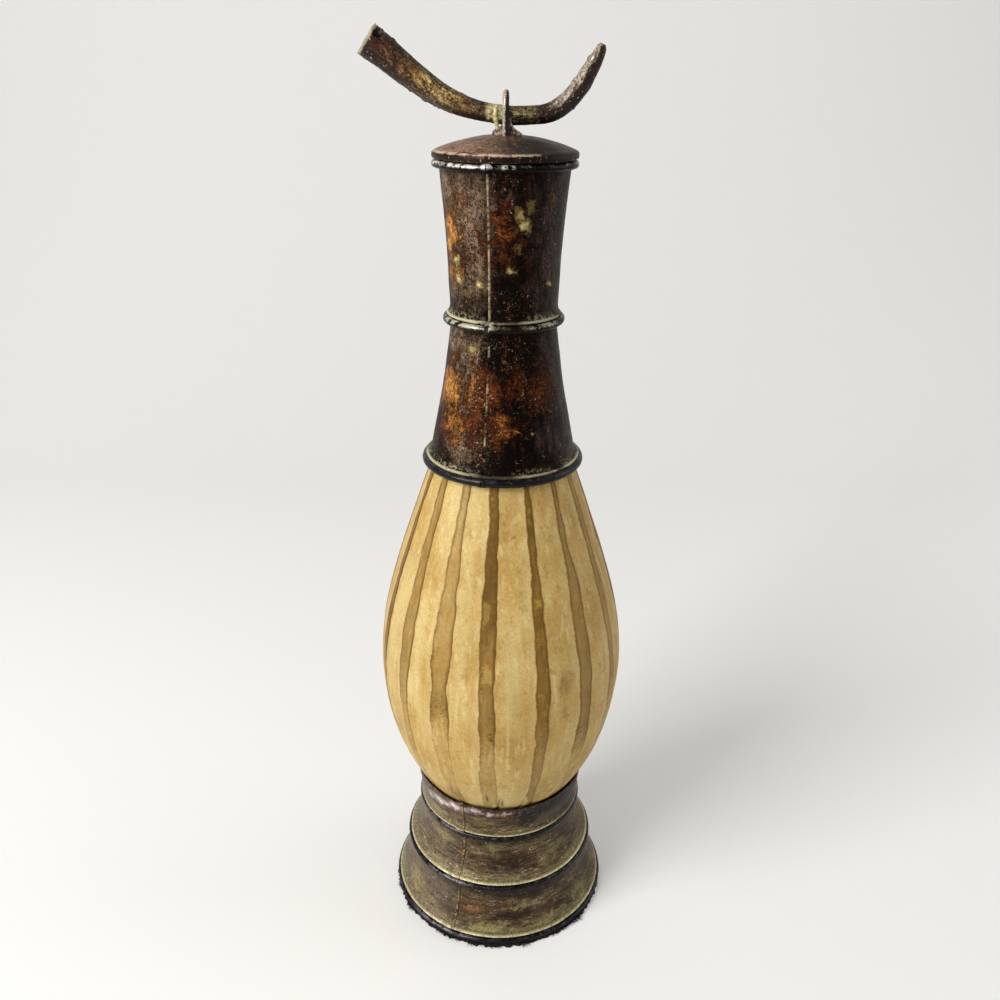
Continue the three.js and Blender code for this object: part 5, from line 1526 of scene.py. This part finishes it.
# %% Twig finish
def twig_finish():
    wood = Finish("twig", "#20120c")
    along = wood.read("along")
    knot = wood.read("knot")
    x, _, _ = wood.parts(wood.place)
    side, facing, upward = wood.parts(wood.normal())
    streak = wood.grain(wood.read("bark", "Vector"), 2.6, 5.0, 0.65, 0.5)
    medium = wood.grain(wood.place, 0.22, 5.0, 0.7)
    fine = wood.grain(wood.place, 0.7, 4.0, 0.75)
    lengthwise = wood.point(wood.times(along, 14.0), 0.0, 0.0)
    drawn = wood.vector("ADD", wood.stretch(wood.normal(), 4.0, 4.0, 4.0), lengthwise)
    drawn = wood.grain(drawn, 1.6, 5.0, 0.68, 0.4)
    sponge = wood.plus(wood.times(wood.plus(fine, drawn), 0.5), wood.swing(streak, 0.5))
    at_front = wood.ease(facing, 0.0, -0.6)
    lit_side = wood.ease(wood.minus(upward, side), 0.0, 0.75)

    def stretch_of(value, low, high, wander):
        """1 where the value lies on a stretch with a ragged start and end."""
        away = wood.minus(wood.plus(value, wood.swing(medium, wander)), (low + high) / 2)
        return wood.ease(wood.calc("ABSOLUTE", away), (high - low) * 0.68, (high - low) * 0.3)

    def rubbed(where, low, high, colour, strength=0.9):
        wood.layer(wood.times(where, wood.ease(sponge, low, high)), colour, strength)

    rubbed(1.0, 0.42, 0.64, "#4f3320")
    rubbed(stretch_of(along, 0.0, 0.2, 0.2), 0.4, 0.54, "#431f18", 0.8)
    rubbed(stretch_of(along, 0.06, 0.22, 0.2), 0.5, 0.64, "#8a6640", 0.65)
    arm = wood.times(stretch_of(along, 0.16, 0.46, 0.16), at_front)
    rubbed(arm, 0.38, 0.54, "#8a6538")
    rubbed(wood.times(stretch_of(along, 0.2, 0.38, 0.12), at_front), 0.44, 0.58, "#c0a263")
    rubbed(wood.times(stretch_of(along, 0.24, 0.36, 0.12), at_front), 0.52, 0.66, "#e2d3a0")
    rubbed(stretch_of(along, 0.4, 0.5, 0.1), 0.42, 0.58, "#6d5546", 0.7)
    rubbed(wood.times(stretch_of(x, -10.0, -1.0, 6.0), at_front), 0.3, 0.48, "#cfc38c", 0.95)
    rubbed(wood.times(stretch_of(x, 3.0, 15.0, 8.0), at_front), 0.4, 0.54, "#83754b")
    rubbed(wood.times(stretch_of(x, 2.0, 13.0, 8.0), at_front), 0.54, 0.64, "#d0c59b")
    # painted light and shade: the right arm is pale on its lit side and dark on the other
    tip_arm = stretch_of(along, 0.74, 1.06, 0.1)
    rubbed(wood.times(tip_arm, lit_side), 0.36, 0.5, "#94826f")
    rubbed(wood.times(tip_arm, lit_side), 0.48, 0.62, "#d6cabb", 0.85)
    wood.layer(wood.times(tip_arm, wood.ease(lit_side, 0.5, 0.1)), "#2a1711", 0.7)
    top = wood.times(wood.ease(upward, 0.4, 0.8), wood.ease(along, 0.56, 0.44))
    wood.layer(wood.times(top, wood.ease(medium, 0.36, 0.54)), "#160d09", 0.8)
    # painted shade: the underside of the twig is darker
    wood.layer(wood.ease(upward, 0.0, -0.6), "#170d08", 0.82)
    wood.layer(wood.ease(sponge, 0.42, 0.3), "#0e0805", 0.7)
    wood.gritty(wood.grain(wood.place, 0.9, 2.0, 0.6), 0.5, 1.6)
    wood.layer(wood.specks(1.3, 0.33), "#d3bf93", 0.65)
    wood.layer(wood.times(wood.ease(along, 0.014, 0.004), wood.ease(fine, 0.34, 0.48)), "#cfc3a6", 0.9)
    # painted shade: the knot's hollow is near-black
    wood.layer(wood.ease(knot, 1.0, 0.7), "#0b0604")
    rough = wood.calc("MULTIPLY_ADD", fine, 0.35, 0.26)
    height = wood.plus(streak, wood.times(fine, 0.5))
    sockets = {"Metallic": 0.1, "Specular IOR Level": 0.25, "Coat Weight": 0.08, "Coat Roughness": 0.25}
    return wood.close(rough, height, 0.35 * MM, **sockets)


TWIG_FINISH = twig_finish()

# %% [markdown]
# ## The line of the twig
# The line starts at the saw cut, dips to the dome and rises again to the tip. Each station gives its place
# and the radius of the wood, and a smooth line is drawn through them. The knot looks out of the bark near
# the saw cut. The tree leaves the sawn face flat, so two insets sink it a little inside its rim of bark.

# %% Twig
TWIG_LINE = [
    # sideways, height above the lowest stretch, towards the back, radius: mm, from the saw cut to the tip
    (-70.9, 35.6, -2.0, 8.4), (-61.6, 29.0, -1.4, 7.9), (-51.6, 21.1, -0.6, 7.2), (-39.2, 12.5, 0.4, 6.4),
    (-26.3, 5.9, 0.8, 5.6), (-13.1, 2.0, 0.4, 4.8), (0.0, 0.0, 0.0, 4.7), (12.0, 0.2, 0.2, 4.7),
    (22.5, 1.4, 0.4, 4.8), (31.5, 6.6, 0.2, 5.0), (38.4, 14.3, -0.4, 4.7), (43.9, 23.6, -1.0, 4.1),
    (47.6, 30.6, -1.4, 2.9), (48.7, 32.7, -1.6, 2.2), (49.1, 33.9, -1.6, 1.2),
]
TWIG_LIFT = 4.4 * MM
TWIG_GRIP_R = 4.7 * MM
KNOT_PLACE = 3.6 * MM  # from the saw cut, along the twig
KNOT_OUT = Vector((0.40, -0.72, 0.57))  # the side of the twig that the knot looks out of
END_DISH = 0.5 * MM
END_RIM = 1.1 * MM

twig_middle = dome_top + TWIG_LIFT + TWIG_GRIP_R
stations = [Vector((side * MM, back * MM, twig_middle + lift * MM)) for side, lift, back, _ in TWIG_LINE]
twig_path = [tuple(p) for p in through(stations)]
twig_thick = [p.x for p in through([Vector((thick * MM, 0.0)) for *_, thick in TWIG_LINE])]
cut_end = Vector(twig_path[0])
twig_way = (Vector(twig_path[1]) - cut_end).normalized()
knot = cut_end + twig_way * KNOT_PLACE + KNOT_OUT.normalized() * twig_thick[0]
knot_at = {"knot_x": knot.x, "knot_y": knot.y, "knot_z": knot.z}
twig = shaped("twig_wood", BARK_TWIG, twig_path, TWIG_FINISH, thick=twig_thick, **knot_at)


def dish_end(made, centre):
    """Sinks the sawn face a little inside its rim of bark."""
    work = bmesh.new()
    work.from_mesh(made.data)
    face = min(work.faces, key=lambda f: (f.calc_center_median() - centre).length - len(f.verts) * MM)
    bmesh.ops.inset_region(work, faces=[face], thickness=END_RIM, depth=0.0, use_even_offset=True)
    bmesh.ops.inset_region(work, faces=[face], thickness=END_RIM / 2, depth=-END_DISH, use_even_offset=True)
    bmesh.ops.poke(work, faces=[face])
    work.to_mesh(made.data)
    work.free()


dish_end(twig, cut_end)
piece(twig, "lid", "twig", "twig")

# %% [markdown]
# ## Loop
# A loop of wire stands astride the twig. Its legs go through the dome and are turned out underneath. One
# leg and the half circle over the twig are drawn, the other leg is the mirror image, and a smooth line
# joins them. The wire tool sweeps it. The loop is painted bright on its left, the side that faces the lamp,
# as a painted highlight.

# %% Loop
LOOP_LEG = 6.7 * MM  # from the middle of the twig to the middle of a leg
LOOP_STEPS = 8
# towards the lamp at the left: the loop is painted bright on the side that faces it, as a highlight
LOOP_LIT_FROM = (-0.95, -0.3, 0.6)
loop_low, loop_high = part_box("handle_loop")
loop_wire = loop_high.x
foot_height = loop_low.z + loop_wire
arch = loop_high.z - loop_wire - LOOP_LEG
bend = 1.5 * loop_wire
leg = [
    Vector((0.0, loop_high.y, foot_height)),
    Vector((0.0, LOOP_LEG + bend, foot_height)),
    Vector((0.0, LOOP_LEG + 0.3 * bend, foot_height + 0.3 * bend)),
    Vector((0.0, LOOP_LEG, foot_height + bend)),
    Vector((0.0, LOOP_LEG, (foot_height + bend + arch) / 2)),
]
top = [
    Vector((0.0, LOOP_LEG * math.cos(turn), arch + LOOP_LEG * math.sin(turn)))
    for turn in (step * math.pi / LOOP_STEPS for step in range(LOOP_STEPS + 1))
]
other_leg = [Vector((0.0, -p.y, p.z)) for p in reversed(leg)]
loop_path = [tuple(p) for p in through([*leg, *top, *other_leg], 6)]
loop_highlight = {"shine": 0.4, "rubbed_and_lit_from": LOOP_LIT_FROM}
LOOP_FINISH = wire_finish("loop_wire", "#1c100b", "#c2ac9b", "#fff6ea", 0.66, **loop_highlight)
loop_sizes = {"wire": loop_wire, "points": 110, "wobble": 0.5 * MM, "lumps": 0.14, "beads": 0.0, "seed": 0.2}
handle_loop = shaped("loop_wire", BENT_WIRE, loop_path, LOOP_FINISH, **loop_sizes)
piece(handle_loop, "lid", "drawn_wire", "handle_loop")

# %% [markdown]
# ## Solder
# Lumps of solder hold the twig to the dome, with one runny lump up the left of the loop and a drip at its
# right. Overlapping balls are fused by a voxel Remesh and then smoothed, which gives the rounded,
# run-together look of metal that has set. Modelling each lump by hand would take longer and look less like
# one melt.

# %% Solder
SOLDER_BALLS = [
    # sideways, towards the back, height above the dome's top and radius, in mm
    (0.0, 0.0, 1.6, 3.6), (-3.6, -2.6, 0.9, 2.4), (-2.2, -4.2, 0.2, 1.9), (3.8, -2.8, 0.8, 2.5),
    (5.6, -1.4, 0.1, 1.8), (-5.2, 0.6, 0.4, 2.0), (2.6, 3.2, 0.8, 2.3), (-2.4, 3.4, 0.6, 2.1),
    (-3.0, -3.4, 2.6, 1.3), (3.4, -3.6, 2.2, 1.2), (-4.3, -4.0, 2.0, 1.3), (-4.5, -4.1, 3.6, 1.1),
    (-4.8, -4.3, 5.4, 1.3), (-5.2, -4.5, 7.4, 1.6), (-5.4, -4.6, 9.6, 1.5), (-5.2, -4.0, 11.8, 1.4),
    (-4.8, -2.6, 13.3, 1.1), (2.8, -5.6, 4.6, 0.9), (3.5, -5.6, 3.4, 0.9), (4.3, -5.4, 2.3, 1.0),
    (5.3, -5.1, 1.3, 1.2), (6.6, -4.6, 0.5, 1.3), (7.9, -4.0, -0.1, 1.1), (2.2, -5.2, 5.8, 1.0),
    (2.0, -4.4, 7.0, 1.1),
]
SOLDER_VOXEL = 0.35 * MM


def solder_finish():
    solder = Finish("solder", "#8a7566")
    x, _, z = solder.parts(solder.place)
    medium = solder.grain(solder.place, 0.5, 4.0, 0.65)
    solder.layer(solder.ease(medium, 0.5, 0.62), "#e0d2c2", 0.9)
    solder.layer(solder.ease(medium, 0.48, 0.38), "#2a1a12", 0.95)
    above_dome = solder.minus(solder.plus(z, solder.swing(medium, 6.0)), dome_top / MM)
    putty = solder.times(solder.ease(above_dome, 2.0, 5.0), solder.ease(x, -1.0, -2.5))
    putty_tone = solder.mix(solder.ease(medium, 0.36, 0.6), tone("#b5a468"), tone("#e3d9a4"))
    solder.layer(putty, putty_tone, 0.9)
    return solder.close(solder.calc("MULTIPLY_ADD", medium, 0.4, 0.25), medium, 0.3 * MM, Metallic=0.2)


def solder_lumps():
    lumps = bmesh.new()
    for side, back, lift, radius in SOLDER_BALLS:
        place = Matrix.Translation((side * MM, back * MM, dome_top + lift * MM))
        bmesh.ops.create_icosphere(lumps, subdivisions=3, radius=radius * MM, matrix=place)
    mesh = bpy.data.meshes.new("solder_work")
    lumps.to_mesh(mesh)
    lumps.free()
    work = bpy.data.objects.new("solder_work", mesh)
    scene.collection.objects.link(work)
    fuse = work.modifiers.new("fuse", "REMESH")
    fuse.mode = "VOXEL"
    fuse.voxel_size = SOLDER_VOXEL
    melt = work.modifiers.new("melt", "SMOOTH")
    melt.factor = 0.6
    melt.iterations = 6
    done = bpy.data.meshes.new_from_object(work.evaluated_get(bpy.context.evaluated_depsgraph_get()))
    bpy.data.objects.remove(work)
    done.materials.clear()
    done.materials.append(solder_finish())
    return plain_object("solder_lumps", done)


piece(solder_lumps(), "lid", "solder", "solder_saddle")

# %% [markdown]
# ## Pieces that stay as they are
# The earthenware core shows only down the open neck, and the base plate only from below, so the CAD solids
# stay. They still get finishes of their own: fired clay with throwing rings, and dull bare tin.

# %% Core and base plate
def earthenware_finish():
    clay = Finish("earthenware", "#8f5a3e")
    rings = clay.grain(clay.stretch(clay.place, 0.01, 0.01, 0.35), 1.0, 3.0)
    clay.layer(clay.ease(rings, 0.4, 0.65), "#a8734f", 0.8)
    clay.layer(clay.ease(clay.grain(clay.place, 0.08, 5.0, 0.65), 0.52, 0.7), "#6e4430", 0.7)
    clay.layer(clay.specks(0.8, 0.34), "#3c2720", 0.6)
    return clay.close(0.85, rings, 0.5 * MM)


def bare_tin_finish():
    tin = Finish("bare_tin", "#6b6660")
    brushed = tin.grain(tin.stretch(tin.place, 0.05, 1.2, 1.2), 1.0, 4.0, 0.6)
    tin.layer(tin.ease(brushed, 0.4, 0.65), "#89837b", 0.8)
    tin.layer(tin.ease(tin.grain(tin.place, 0.06, 5.0, 0.7), 0.55, 0.7), "#6a4a34", 0.7)
    return tin.close(tin.calc("MULTIPLY_ADD", brushed, 0.3, 0.3), brushed, 0.1 * MM, Metallic=0.7)


for node, finish in (("body_core", earthenware_finish()), ("base_plate", bare_tin_finish())):
    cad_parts[node].material_slots[0].material = finish
    print(node, "keeps its CAD shape")
